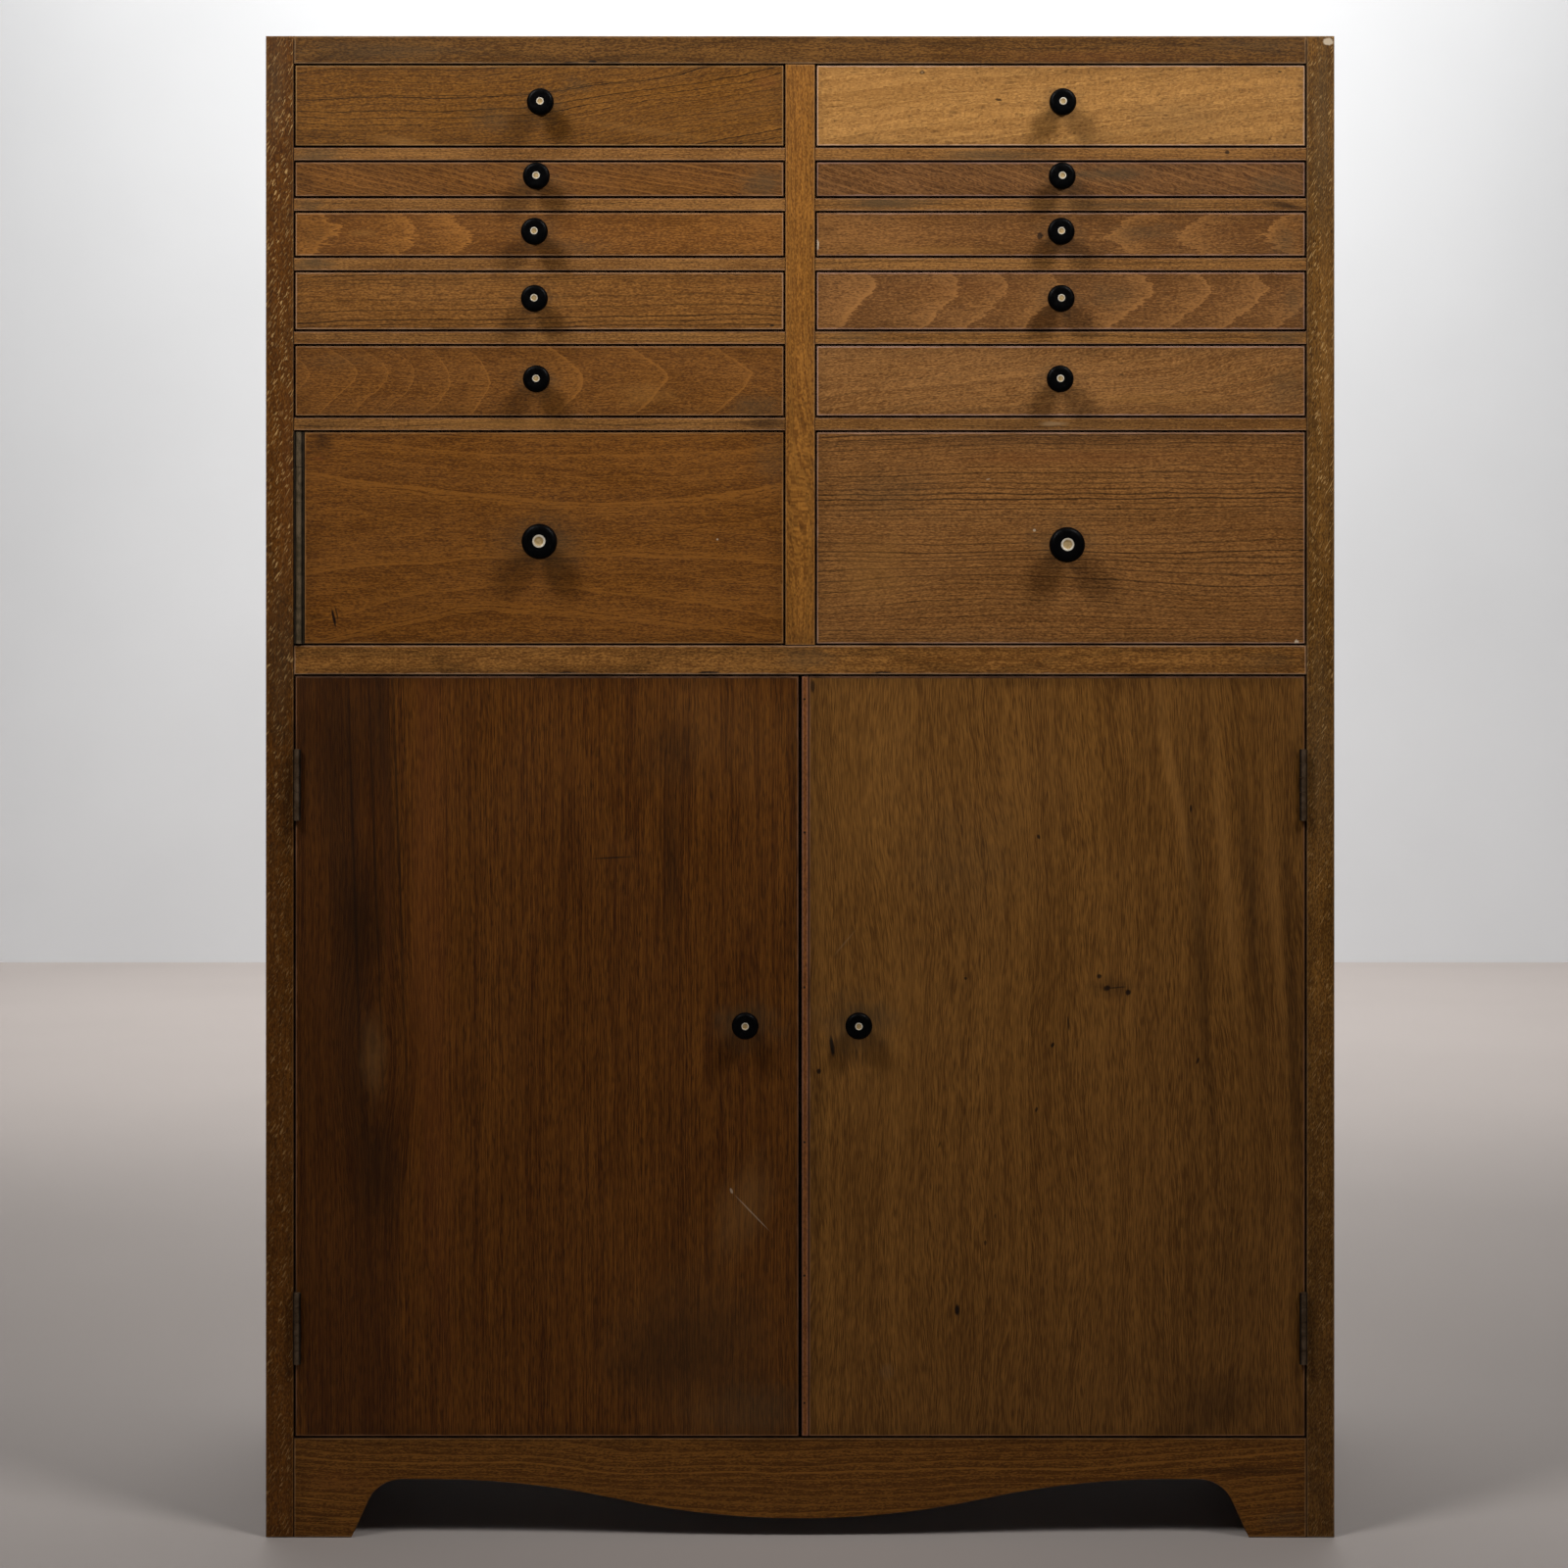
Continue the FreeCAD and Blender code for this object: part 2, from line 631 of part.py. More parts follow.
def make_frame_hinges():
    """The leaves on the case, and the pins, which stay with it."""
    leaves = []
    pins = []
    for bank, hand in BANKS.items():
        for number, low in enumerate(butt_floors(), 1):
            leaf = butt_leaf(f"{bank}_frame_leaf_{number}", hand, False)
            leaves.append(put(leaf, hinge_side(hand), "0", low))
            pin = rod(f"{bank}_pin_{number}", "butt_pin_radius", "butt_length")
            pins.append(put(pin, f"{hinge_side(hand)} - {hand} * {BUTT_AXIS[0]}", BUTT_AXIS[1], low))
    subpart("frame_hinge_leaves", put(together("frame_hinge_leaves", leaves), "0", front_plane))
    low = f"{row_floor[ROWS]} + front_gap"
    leaf = piano_leaf("piano_hinge_frame_leaf", False)
    subpart("piano_hinge_frame_leaf", put(leaf, hinge_side(-1), front_plane, low))
    pin = rod("piano_pin", "piano_pin_radius", "row_6_opening - 2 * front_gap")
    pins.append(put(pin, f"{hinge_side(-1)} + {PIANO_AXIS[0]}", PIANO_AXIS[1], low))
    subpart("hinge_pins", put(together("hinge_pins", pins), "0", front_plane))


# Doors


def make_door(bank, hand):
    """A cupboard door with its two hinge leaves and its knob. The right one carries the meeting strip."""
    name = f"{bank}_door"
    edge = f"({inner_width} / 2 - meeting_gap / 2)"
    panel_edge = f"({edge} - strip_width)" if hand > 0 else edge
    tall = ("apron_height + front_gap", f"{door_head} - front_gap")
    door = board(name, handed(hand, "front_gap", panel_edge), ("0", "door_thickness"), tall)
    leaves = []
    for number, low in enumerate(butt_floors(), 1):
        across = handed(hand, "front_gap", BUTT_DOOR_PLATE[1])
        notch(door, across, ("0 - arris", "butt_leaf_width"), (low, f"{low} + butt_length"))
        leaves.append(put(butt_leaf(f"{name}_leaf_{number}", hand, True), "0", "0", low))
    inset = f"(0 - {hand} * ({edge} - {bank}_door_knob_inset))"
    knob_z = "apron_height + door_knob_height"
    bore(door, (1, 0, 0), -QUARTER_TURN, "small_stud_radius", "door_thickness", (inset, "0", knob_z))
    subpart(name, put(door, hinge_side(hand), front_plane))
    subpart(f"{name}_hinge_leaves", put(together(f"{name}_leaves", leaves), hinge_side(hand), front_plane))
    make_knob(f"{name}_knob", "small", "door_thickness", f"{hinge_side(hand)} + {inset}", knob_z)
    if hand > 0:
        strip = board("meeting_strip", handed(hand, panel_edge, edge), ("0", "door_thickness"), tall)
        subpart("meeting_strip", put(strip, hinge_side(hand), front_plane))


def make_small_door():
    """The small door on its piano hinge, in the lowest bay of the left bank."""
    tall = ("front_gap", "row_6_opening - front_gap")
    deep = ("0", "small_door_thickness")
    door = board("small_door", (PIANO_REACH, f"{bay_width} - front_gap"), deep, tall)
    knob_x = f"({bay_width} / 2 + left_6_knob_shift)"
    knob_z = "(row_6_opening / 2 - small_door_knob_drop)"
    bore(door, (1, 0, 0), -QUARTER_TURN, "big_stud_radius", "small_door_thickness", (knob_x, "0", knob_z))
    low = row_floor[ROWS]
    subpart("small_door", put(door, hinge_side(-1), front_plane, low))
    leaf = piano_leaf("small_door_hinge_leaf", True)
    subpart("small_door_hinge_leaf", put(leaf, hinge_side(-1), front_plane, f"{low} + front_gap"))
    place = (f"{hinge_side(-1)} + {knob_x}", f"{low} + {knob_z}")
    make_knob("small_door_knob", "big", "small_door_thickness", *place)


def check():
    """Stop if any object failed to build, or a sub-part is empty or not valid."""
    for thing in doc.Objects:
        if {"Invalid", "Error"} & set(thing.State):
            raise RuntimeError(f"{thing.Label} did not build")
    for thing in subparts:
        if thing.Shape.isNull() or not thing.Shape.isValid() or not thing.Shape.Solids:
            raise RuntimeError(f"{thing.Label} has no valid shape")


make_back()
make_sides()
make_boards()
make_apron()
make_glue_blocks()
make_bank_timber()
make_shelf()
make_catches()
for bank, hand in BANKS.items():
    for row in range(1, ROWS + 1):
        if (bank, row) != ("left", ROWS):
            make_drawer(bank, hand, row)
make_frame_hinges()
for bank, hand in BANKS.items():
    make_door(bank, hand)
make_small_door()
doc.recompute()
check()
os.makedirs("parts", exist_ok=True)
for thing in subparts:
    thing.Shape.exportStep(f"parts/{thing.Label}.step")
print(len(subparts), "sub-parts,", sum(len(thing.Shape.Solids) for thing in subparts), "solids")
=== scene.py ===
import math
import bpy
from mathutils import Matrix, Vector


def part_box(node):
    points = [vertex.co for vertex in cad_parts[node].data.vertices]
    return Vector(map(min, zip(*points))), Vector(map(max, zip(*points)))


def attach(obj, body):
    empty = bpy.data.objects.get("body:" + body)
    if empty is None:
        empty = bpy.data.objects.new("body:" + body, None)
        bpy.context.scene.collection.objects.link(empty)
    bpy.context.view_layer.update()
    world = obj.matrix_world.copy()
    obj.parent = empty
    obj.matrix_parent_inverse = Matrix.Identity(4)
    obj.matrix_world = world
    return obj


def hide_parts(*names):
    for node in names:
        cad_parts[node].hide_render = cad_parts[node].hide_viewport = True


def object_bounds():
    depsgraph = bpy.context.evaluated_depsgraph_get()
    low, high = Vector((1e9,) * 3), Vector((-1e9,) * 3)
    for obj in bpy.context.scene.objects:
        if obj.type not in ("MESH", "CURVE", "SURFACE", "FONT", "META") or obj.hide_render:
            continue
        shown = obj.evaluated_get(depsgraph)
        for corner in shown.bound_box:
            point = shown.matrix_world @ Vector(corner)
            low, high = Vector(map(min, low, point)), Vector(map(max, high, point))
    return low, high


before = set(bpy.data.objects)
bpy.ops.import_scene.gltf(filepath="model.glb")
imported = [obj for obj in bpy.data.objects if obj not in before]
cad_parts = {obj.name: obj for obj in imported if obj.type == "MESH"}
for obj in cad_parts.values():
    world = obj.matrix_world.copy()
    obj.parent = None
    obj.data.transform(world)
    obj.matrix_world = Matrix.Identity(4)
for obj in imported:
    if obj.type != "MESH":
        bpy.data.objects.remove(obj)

from types import SimpleNamespace

import bpy
from bpy.props import FloatProperty, FloatVectorProperty, IntProperty, PointerProperty
from mathutils import Vector

bl_info = {
    "name": "Haberdashery cabinet",
    "version": (1, 0, 0),
    "blender": (4, 5, 0),
    "location": "View3D > Sidebar > Cabinet",
    "description": "Timber, knobs and hardware of a haberdashery cabinet",
    "category": "Object",
}

BANKS = {"left": -1, "right": 1}
ROWS = 6
MM = 1000
BOX_LOW, BOX_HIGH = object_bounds()
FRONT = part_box("left_side")[0].y


# Node trees


def feed(node, sources):
    """Join the node's inputs to values, or set them to plain numbers and colours."""
    for place, source in sources.items():
        if isinstance(source, Value):
            node.id_data.links.new(source.socket, node.inputs[place])
        else:
            node.inputs[place].default_value = source


def add(tree, kind, sources, output=0, **settings):
    made = tree.nodes.new("ShaderNode" + kind)
    for name, setting in settings.items():
        setattr(made, name, setting)
    feed(made, sources)
    return Value(made.outputs[output])


def made_from(kind, sources, output=0, **settings):
    """A new node in the tree of the first value that feeds it."""
    first = next(source for source in sources.values() if isinstance(source, Value))
    return add(first.socket.id_data, kind, sources, output, **settings)


def calc(operation, *terms, output=0):
    """One step of arithmetic on numbers, or on vectors if the first value is one."""
    first = next(term for term in terms if isinstance(term, Value))
    kind = "Math" if first.socket.type == "VALUE" else "VectorMath"
    return made_from(kind, dict(enumerate(terms)), output, operation=operation)


def least(*terms):
    return calc("MINIMUM", *terms)


def most(*terms):
    return calc("MAXIMUM", *terms)


def joined(x, y, z):
    return made_from("CombineXYZ", {0: x, 1: y, 2: z})


class Value:
    """What a node gives out, reckoned with like a plain number, vector or colour."""

    def __init__(self, socket):
        self.socket = socket

    def __add__(self, other):
        return calc("ADD", self, other)

    def __radd__(self, other):
        return calc("ADD", other, self)

    def __sub__(self, other):
        return calc("SUBTRACT", self, other)

    def __rsub__(self, other):
        return calc("SUBTRACT", other, self)

    def __mul__(self, other):
        return calc("MULTIPLY", self, other)

    def __truediv__(self, other):
        return calc("DIVIDE", self, other)

    def __abs__(self):
        return calc("ABSOLUTE", self)

    def parts(self):
        return [Value(socket) for socket in made_from("SeparateXYZ", {0: self}).socket.node.outputs]

    def scaled(self, factor):
        return made_from("VectorMath", {0: self, "Scale": factor}, operation="SCALE")

    def turned(self, angle):
        """The vector turned about the Y axis."""
        return made_from("VectorRotate", {0: self, 2: (0, 1, 0), 3: angle})

    def noise(self, sizes, detail=2, roughness=0.5, output="Fac"):
        """Smooth noise whose grains have these sizes along the three directions."""
        sources = {"Vector": self / sizes, "Scale": 1, "Detail": detail, "Roughness": roughness}
        return made_from("TexNoise", sources, output)

    def centred(self, amount):
        """A 0 to 1 value turned into one that swings about zero by the amount."""
        return (self - 0.5) * amount

    def ramp(self, start, end, low=0.0, high=1.0):
        sources = {0: self, 1: start, 2: end, 3: low, 4: high}
        return made_from("MapRange", sources, interpolation_type="SMOOTHSTEP")

    def between(self, first, second):
        """The first colour where this mask is zero and the second where it is one."""
        return made_from("Mix", {0: self, 6: first, 7: second}, 2, data_type="RGBA")

    def darker(self, mask, amount):
        """The colour dimmed by the amount where the mask is one."""
        return self.scaled(mask * (amount * -1) + 1)


def label_of(name):
    return name.replace("_", " ").capitalize()


def by_name(sockets):
    """The values of these sockets, each under its own name in small letters."""
    values = {socket.name.lower().replace(" ", "_"): Value(socket) for socket in sockets if socket.name}
    return SimpleNamespace(**values)


def new_group(name, inputs, outputs):
    """A node group with its sockets, listed by kind. Gives its inputs as values, by name."""
    tree = bpy.data.node_groups.new(name, "ShaderNodeTree")
    for side, kinds in (("INPUT", inputs), ("OUTPUT", outputs)):
        for kind, labels in kinds.items():
            for label in labels:
                tree.interface.new_socket(label_of(label), in_out=side, socket_type="NodeSocket" + kind)
    entry = tree.nodes.new("NodeGroupInput")
    tree.nodes.new("NodeGroupOutput")
    return by_name(entry.outputs)


def send(**results):
    """Join the results to their group's outputs of the same name."""
    for name, result in results.items():
        feed(result.socket.id_data.nodes["Group Output"], {label_of(name): result})


def use(group, **sources):
    """Place a node group and give what comes out of it, by name."""
    sources = {label_of(name): source for name, source in sources.items()}
    made = made_from("Group", sources, node_tree=bpy.data.node_groups[group]).socket.node
    return by_name(made.outputs)


def contours_group():
    """Distance from a slanting pith, wavy and toothed. Millimetres, grain along X, width along Y."""
    inputs = {"Vector": ["vector", "centre", "eye"], "Float": SHAPE_NUMBERS}
    come = new_group("Contours", inputs, {"Float": ["reach"]})
    place = come.vector
    seeded = place + joined(come.seed, come.seed, come.seed)
    away = place - come.eye
    spread = away / (60, 24, 60)
    near_eye = calc("EXPONENT", calc("DOT_PRODUCT", spread, spread, output=1) * -1)
    parted = away * joined(0, near_eye * (come.push * -1), 0)
    broad = seeded.noise((210, 62, 62), 1, 0.4, "Color") - (0.5, 0.5, 0.5)
    close = seeded.noise((46, 13, 13), 2, 0.5, "Color") - (0.5, 0.5, 0.5)
    wave = (broad + close * (0.16, 0.16, 0.16)).scaled(come.sway)
    x, y, z = (place - come.centre + (wave + parted)).parts()
    deep = x * come.slope + z
    radius = calc("SQRT", y * y + deep * deep)
    bent = x * x * (come.bend * 0.001)
    teeth = seeded.noise((11, 1.5, 1.5), 2, 0.6) + seeded.noise((30, 4.5, 4.5), 1) - 0.5
    send(reach=radius + x * come.taper + bent + teeth.centred(come.teeth))


def fibres_group():
    """Fibres, short dark dashes and slow changes of tone, along X in millimetres."""
    outputs = ["streak", "hair", "dash", "cloud", "grit"]
    come = new_group("Fibres", {"Vector": ["vector"], "Float": ["seed"]}, {"Float": outputs})
    seeded = come.vector + joined(come.seed, come.seed, come.seed)
    waved = seeded + joined(0, seeded.noise((80, 30, 30), 1).centred(4), 0)
    send(
        streak=waved.noise((110, 3.6, 3.6), 2, 0.6),
        hair=waved.noise((12, 0.85, 0.85), 1, 0.6),
        dash=waved.noise((4.0, 0.75, 0.75), 1).ramp(0.57, 0.68),
        cloud=seeded.noise((95, 26, 26), 2),
        grit=waved.noise((2.2, 0.8, 0.8), 1),
    )


SHAPE_NUMBERS = dict(slope=0.0, taper=0.0, bend=0.0, sway=10.0, teeth=2.0, push=0.0, seed=0.0)
TONE_NUMBERS = dict(
    ring_shade=0.2, ring_tones=0.15, line_width=0.35, dark_lines=0.3, pale_lines=0.0,
    streaks=0.4, hairs=1.2, dashes=0.3, clouds=0.5, grit=2.4,
)
VENEER_NUMBERS = dict(bands=0.75, patches=0.55, rings=0.1, pores=0.4, fibres=0.4, hairs=1.5, threads=2.2)
COLOURED = {"Color": ["colour"], "Float": ["height", "gloss"]}


def beech_group():
    """Planed beech: rings, fibres and flecks between a dark and a light tone."""
    floats = ["age", "seed", *TONE_NUMBERS]
    come = new_group("Beech", {"Vector": ["vector"], "Color": ["dark", "light"], "Float": floats}, COLOURED)
    rise = calc("FRACT", come.age)
    shade = made_from("TexWhiteNoise", {"W": calc("FLOOR", come.age)}, noise_dimensions="1D")
    wide = come.line_width
    line = rise.ramp(1.0 - wide, 1.0 - wide * 0.3) * rise.ramp(1.0, wide * -0.12 + 1.0)
    fibre = use("Fibres", vector=come.vector, seed=come.seed)
    tone = 0.5 + (rise * rise).centred(come.ring_shade) + shade.centred(come.ring_tones)
    tone = tone + fibre.streak.centred(come.streaks) + fibre.hair.centred(come.hairs)
    tone = tone + fibre.cloud.centred(come.clouds) + fibre.grit.centred(come.grit)
    colour = least(most(tone, -0.25), 1.35).between(come.dark, come.light)
    colour = colour.darker(line, come.dark_lines * (shade * 0.65 + 0.42))
    colour = (line * come.pale_lines).between(colour, come.light.scaled(1.12))
    colour = colour.darker(fibre.dash, come.dashes)
    send(colour=colour, height=fibre.hair + fibre.dash * -0.5 + line * -0.2, gloss=fibre.cloud)


def veneer_group():
    """Sliced veneer with fine open pores, broad bands and soft rings."""
    floats = ["reach", "seed", *VENEER_NUMBERS]
    come = new_group("Veneer", {"Vector": ["vector"], "Color": ["dark", "light"], "Float": floats}, COLOURED)
    seeded = come.vector + joined(come.seed, come.seed, come.seed)
    x, y, z = seeded.parts()
    lain = joined(x, come.reach, z)
    bands = lain.noise((700, 20, 20), 3, 0.6)
    patches = seeded.noise((130, 70, 70), 3, 0.55)
    hair = lain.noise((12, 0.62, 0.62), 1, 0.6)
    thread = lain.noise((60, 0.85, 0.85), 1, 0.6)
    pores = lain.noise((8, 0.7, 0.7), 0).ramp(0.54, 0.66)
    rings = calc("SINE", (come.reach + bands.centred(30)) * 0.5)
    tone = 0.5 + bands.centred(come.bands) + patches.centred(come.patches)
    tone = tone + lain.noise((75, 3.0, 3.0), 2, 0.6).centred(come.fibres) + hair.centred(come.hairs)
    tone = tone + thread.centred(come.threads) + rings * (come.rings * 0.5)
    colour = least(most(tone, -0.2), 1.3).between(come.dark, come.light).darker(pores, come.pores)
    send(colour=colour, height=hair - pores * 0.8, gloss=patches)


def edges_group():
    """A board's edges: painted shade of the gap on the arris, the worn line beside it, painted as rubbed wood
    and its highlight together, and a soft darker border.
    """
    inputs = {"Vector": ["vector", "low", "high"], "Float": ["width"]}
    come = new_group("Edges", inputs, {"Float": ["seam", "worn", "border"]})
    place = come.vector
    x, y, z = least(place - come.low, come.high - place).parts()
    middle = most(least(x, y), least(most(x, y), z))
    ragged = place.noise((9, 9, 9), 3, 0.6).centred(come.width * 1.6)
    outer = come.width + 0.5
    patchy = place.noise((38, 38, 38), 2).ramp(0.32, 0.56, 0.45, 1.0)
    # The seam mask paints the shade of the gap onto the arris; the worn mask paints the rubbed arris and its
    # highlight together.
    send(
        seam=middle.ramp(0.56, 0.3),
        worn=(middle + ragged).ramp(outer, outer * 0.6) * patchy,
        border=(middle + place.noise((30, 30, 30), 3).centred(22)).ramp(13, -3),
    )


def mark_group():
    """A ragged oval patch on the front of a board."""
    inputs = {"Vector": ["vector", "place", "size"], "Float": ["turn", "ragged", "softness"]}
    come = new_group("Mark", inputs, {"Float": ["mask"]})
    shaped = (come.vector - come.place).turned(come.turn) / come.size
    rough = (shaped + come.place * (0.37, 0.37, 0.37)).noise((0.55, 0.55, 0.55), 3, 0.6).centred(come.ragged)
    far = calc("LENGTH", shaped, output=1) + rough
    send(mask=far.ramp(1.0, 1.0 - come.softness))


def flecks_group():
    """Pale ray flecks, short slanting strokes of uneven length."""
    come = new_group("Ray flecks", {"Vector": ["vector"], "Float": ["turn", "seed"]}, {"Float": ["mask"]})
    drift = come.vector.noise((9, 9, 9), 1, output="Color") - (0.5, 0.5, 0.5)
    turned = come.vector.turned(come.turn) + drift * (3, 1, 1)
    strokes = (turned + joined(come.seed, 0, 0)).noise((6.0, 0.95, 0.95), 1)
    send(mask=strokes.ramp(0.6, 0.64) * come.vector.noise((26, 5, 5), 2).ramp(0.42, 0.6, 0.25, 1.0))


GROUPS = (
    fibres_group, contours_group, beech_group, veneer_group, edges_group, mark_group, flecks_group,
)


# Wood

# Which world axis runs along the grain, across the board's face and through its thickness
UPRIGHT_FRONT = "zxy"
LEVEL_FRONT = "xzy"
LEVEL_DEEP = "xyz"
UPRIGHT_SIDE = "zyx"
DEEP_SIDE = "yzx"

# What lies on the wood: colour, raggedness and softness
STAINS = {
    "grease": ((0.030, 0.016, 0.006), 0.9, 0.97),
    "grey": ((0.080, 0.052, 0.024), 1.2, 0.97),
    "gold": ((0.330, 0.150, 0.034), 1.2, 0.95),
    "rust": ((0.170, 0.050, 0.010), 1.2, 0.95),
    "dark": ((0.019, 0.0070, 0.0018), 1.0, 0.97),
    "shade": ((0.036, 0.009, 0.0015), 0.25, 0.3),
    "tan": ((0.260, 0.125, 0.036), 0.8, 0.97),
    "hole": ((0.005, 0.003, 0.002), 0.5, 0.5),
    "scratch": ((0.010, 0.006, 0.003), 0.7, 0.5),
    "pale": ((0.330, 0.205, 0.100), 0.9, 0.7),
    "chip": ((0.620, 0.500, 0.360), 0.8, 0.35),
}
# The near-black of the shade painted into the gaps between boards
GAP_SHADE = (0.008, 0.0030, 0.0030, 1)
ARRIS = 0.95
EYE_FAR_AWAY = (0, 900, 0)


def corners(node):
    """A CAD node's lowest and highest corner in millimetres."""
    return [Vector(corner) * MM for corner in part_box(node)]


def new_material(name):
    """A new node material and the position on it in millimetres."""
    material = bpy.data.materials.new(name)
    material.use_nodes = True
    return material, add(material.node_tree, "TexCoord", {}, "Object") * (MM, MM, MM)


def surface(material, colour, roughness, height=None, relief=0.3, depth=0.0001, specular=0.5, metallic=0.0):
    """Give a material's shader its colour, sheen and relief."""
    sources = {
        "Base Color": colour,
        "Roughness": roughness,
        "Specular IOR Level": specular,
        "Metallic": metallic,
    }
    if height:
        sources["Normal"] = made_from("Bump", {"Strength": relief, "Distance": depth, "Height": height})
    feed(material.node_tree.nodes["Principled BSDF"], sources)
    return material


def along_grain(place, low, high, grain):
    """The position measured along the grain from the middle of the board's front face."""
    middle = (low + high) / 2
    middle.y = low.y
    parts = dict(zip("xyz", (place - tuple(middle)).parts()))
    return joined(*(parts[axis] for axis in grain))


def tinted(colour, tint=(1, 1, 1)):
    return (*(channel * factor for channel, factor in zip(colour, tint)), 1)


def add_marks(place, colour, marks, front):
    """Lay marks on the colour: stain, strength, x, z, half width, half height, turn in degrees."""
    for stain, strength, x, z, wide, high, *turn in marks:
        tint, ragged, softness = STAINS[stain]
        turn = math.radians(turn[0] if turn else 0)
        sources = {"place": (x, front, z), "size": (wide, 3, high), "turn": turn}
        mask = use("Mark", vector=place, ragged=ragged, softness=softness, **sources).mask
        colour = (mask * strength).between(colour, (*tint, 1))
    return colour


def taken(figure, usual):
    """The named numbers out of a figure, each with its usual value where the figure has none."""
    return {name: figure.pop(name, value) for name, value in usual.items()}


def age_of(reach, spacing, contours):
    """Count the rings along the reach: evenly, or one at each named contour."""
    if not contours:
        far = reach / spacing
        return far + made_from("TexNoise", {"W": far * 0.6, "Detail": 0}, noise_dimensions="1D").centred(0.6)
    spans = zip(contours, contours[1:])
    age, *more = [made_from("MapRange", {0: reach, 1: start, 2: end}) for start, end in spans]
    return sum(more, age)


def contour_reach(grained, figure, centre):
    """How far a point lies from the pith, and the seed of the figure."""
    shape = taken(figure, SHAPE_NUMBERS)
    centre, eye = figure.pop("centre", centre), figure.pop("eye", EYE_FAR_AWAY)
    return use("Contours", vector=grained, centre=centre, eye=eye, **shape).reach, shape["seed"]


def grain_colour(grained, dark, light, figure):
    """Beech of one figure: its colour, relief and sheen."""
    spacing, contours = figure.pop("spacing", 4.0), figure.pop("contours", ())
    reach, seed = contour_reach(grained, figure, (0, 60, -5))
    if figure.pop("follow", False):
        x, y, z = grained.parts()
        grained = joined(x, reach, z)
    tones = taken(figure, TONE_NUMBERS)
    if figure:
        raise ValueError(f"unknown figure: {sorted(figure)}")
    age = age_of(reach, spacing, contours)
    return use("Beech", vector=grained, age=age, seed=seed, dark=dark, light=light, **tones)


def edges(place, low, high, width=ARRIS):
    return use("Edges", vector=place, low=tuple(low), high=tuple(high), width=width)


def painted_gap_shade(place, colour, seam, front):
    """Painted shade in the gaps: on the arrises next to another board and on the faces inside a gap, but not on
    the outside of the case.
    """
    x, y, z = place.parts()
    side, top = BOX_HIGH.x * MM, BOX_HIGH.z * MM
    inner = abs(x).ramp(side - 2, side - 4)
    below = z.ramp(top - 2, top - 4)
    gap = (y - front).ramp(0.35, 0.7)
    deep = (y - front).ramp(9.0, 1.5, 0.35, 1.0)
    mask = most(seam, gap * deep) * (inner * below)
    return (mask * 0.95).between(colour, GAP_SHADE)


def finish_wood(
    material, place, low, wood, colour, edge,
    marks=(), worn=0.0, arris_wear_and_highlight_tint=(1, 1, 1), rough=0.52, relief=0.3,
):
    """Lay the marks, the worn arrises with their painted highlight and the painted shade of the joints on a
    wood's colour, and join it to the surface.
    """
    worn_edge = bpy.context.scene.cabinet_colours.worn_edge
    colour = add_marks(place, colour, marks, low.y)
    if worn:
        colour = (edge.worn * worn).between(colour, tinted(worn_edge, arris_wear_and_highlight_tint))
        colour = painted_gap_shade(place, colour, edge.seam, low.y)
    sheen = wood.gloss.centred(0.35) + rough
    return surface(material, colour, sheen, wood.height, relief, 0.0003, 0.16)


def beech(name, node, grain, tint=(1, 1, 1), marks=(), flecks=0.0, worn=0.62, border_darkening=0.22, **figure):
    """Oiled beech for one board, with its own figure, tone and marks."""
    colours = bpy.context.scene.cabinet_colours
    material, place = new_material(name)
    low, high = corners(node)
    grained = along_grain(place, low, high, grain)
    wood = grain_colour(grained, tinted(colours.beech_dark, tint), tinted(colours.beech_light, tint), figure)
    colour = wood.colour
    if flecks:
        mask = use("Ray flecks", vector=grained, turn=math.radians(28), seed=low.x).mask
        x, y, z = place.parts()
        mask = mask * z.ramp(420, 660, 0.5, 1.0) * y.ramp(low.y + 3, low.y + 1, 0.12, 1.0)
        colour = (mask * flecks).between(colour, tinted(colours.fleck))
    edge = edges(place, low, high)
    # Each board's faces are made darker towards their border.
    return finish_wood(material, place, low, wood, colour.darker(edge.border, border_darkening), edge, marks, worn, tint)


def veneer(name, node, dark, light, marks=(), **figure):
    """Sliced veneer for one cupboard door."""
    material, place = new_material(name)
    low, high = corners(node)
    grained = along_grain(place, low, high, UPRIGHT_FRONT)
    reach, seed = contour_reach(grained, figure, (0, 600, 0))
    tones = {**taken(figure, VENEER_NUMBERS), "dark": tinted(dark), "light": tinted(light)}
    if figure:
        raise ValueError(f"{name}: {sorted(figure)}")
    wood = use("Veneer", vector=grained, reach=reach, seed=seed, **tones)
    edge = edges(place, low, high)
    colour = wood.colour.darker(edge.border, 0.25)
    return finish_wood(material, place, low, wood, colour, edge, marks, 0.6, (0.7, 0.62, 0.6), 0.5, 0.4)


def raw_wood(name, node, grain, colour, pins=None, **figure):
    """Plain sanded wood inside the case, a little dusty and darkened with age."""
    material, place = new_material(name)
    low, high = corners(node)
    grained = along_grain(place, low, high, grain)
    usual = dict(centre=(0, 70, -20), spacing=7.0, sway=14.0, ring_tones=0.4, seed=(low.x + low.z) % 97)
    wood = grain_colour(grained, tinted(colour, (0.72, 0.68, 0.62)), tinted(colour), {**usual, **figure})
    colour = wood.colour.darker(edges(place, low, high, 1.0).border, 0.35)
    if pins:
        colour = colour.darker(pin_heads(place, low, high, **pins), 0.8)
    return finish_wood(material, place, low, wood, colour, None, rough=0.62)


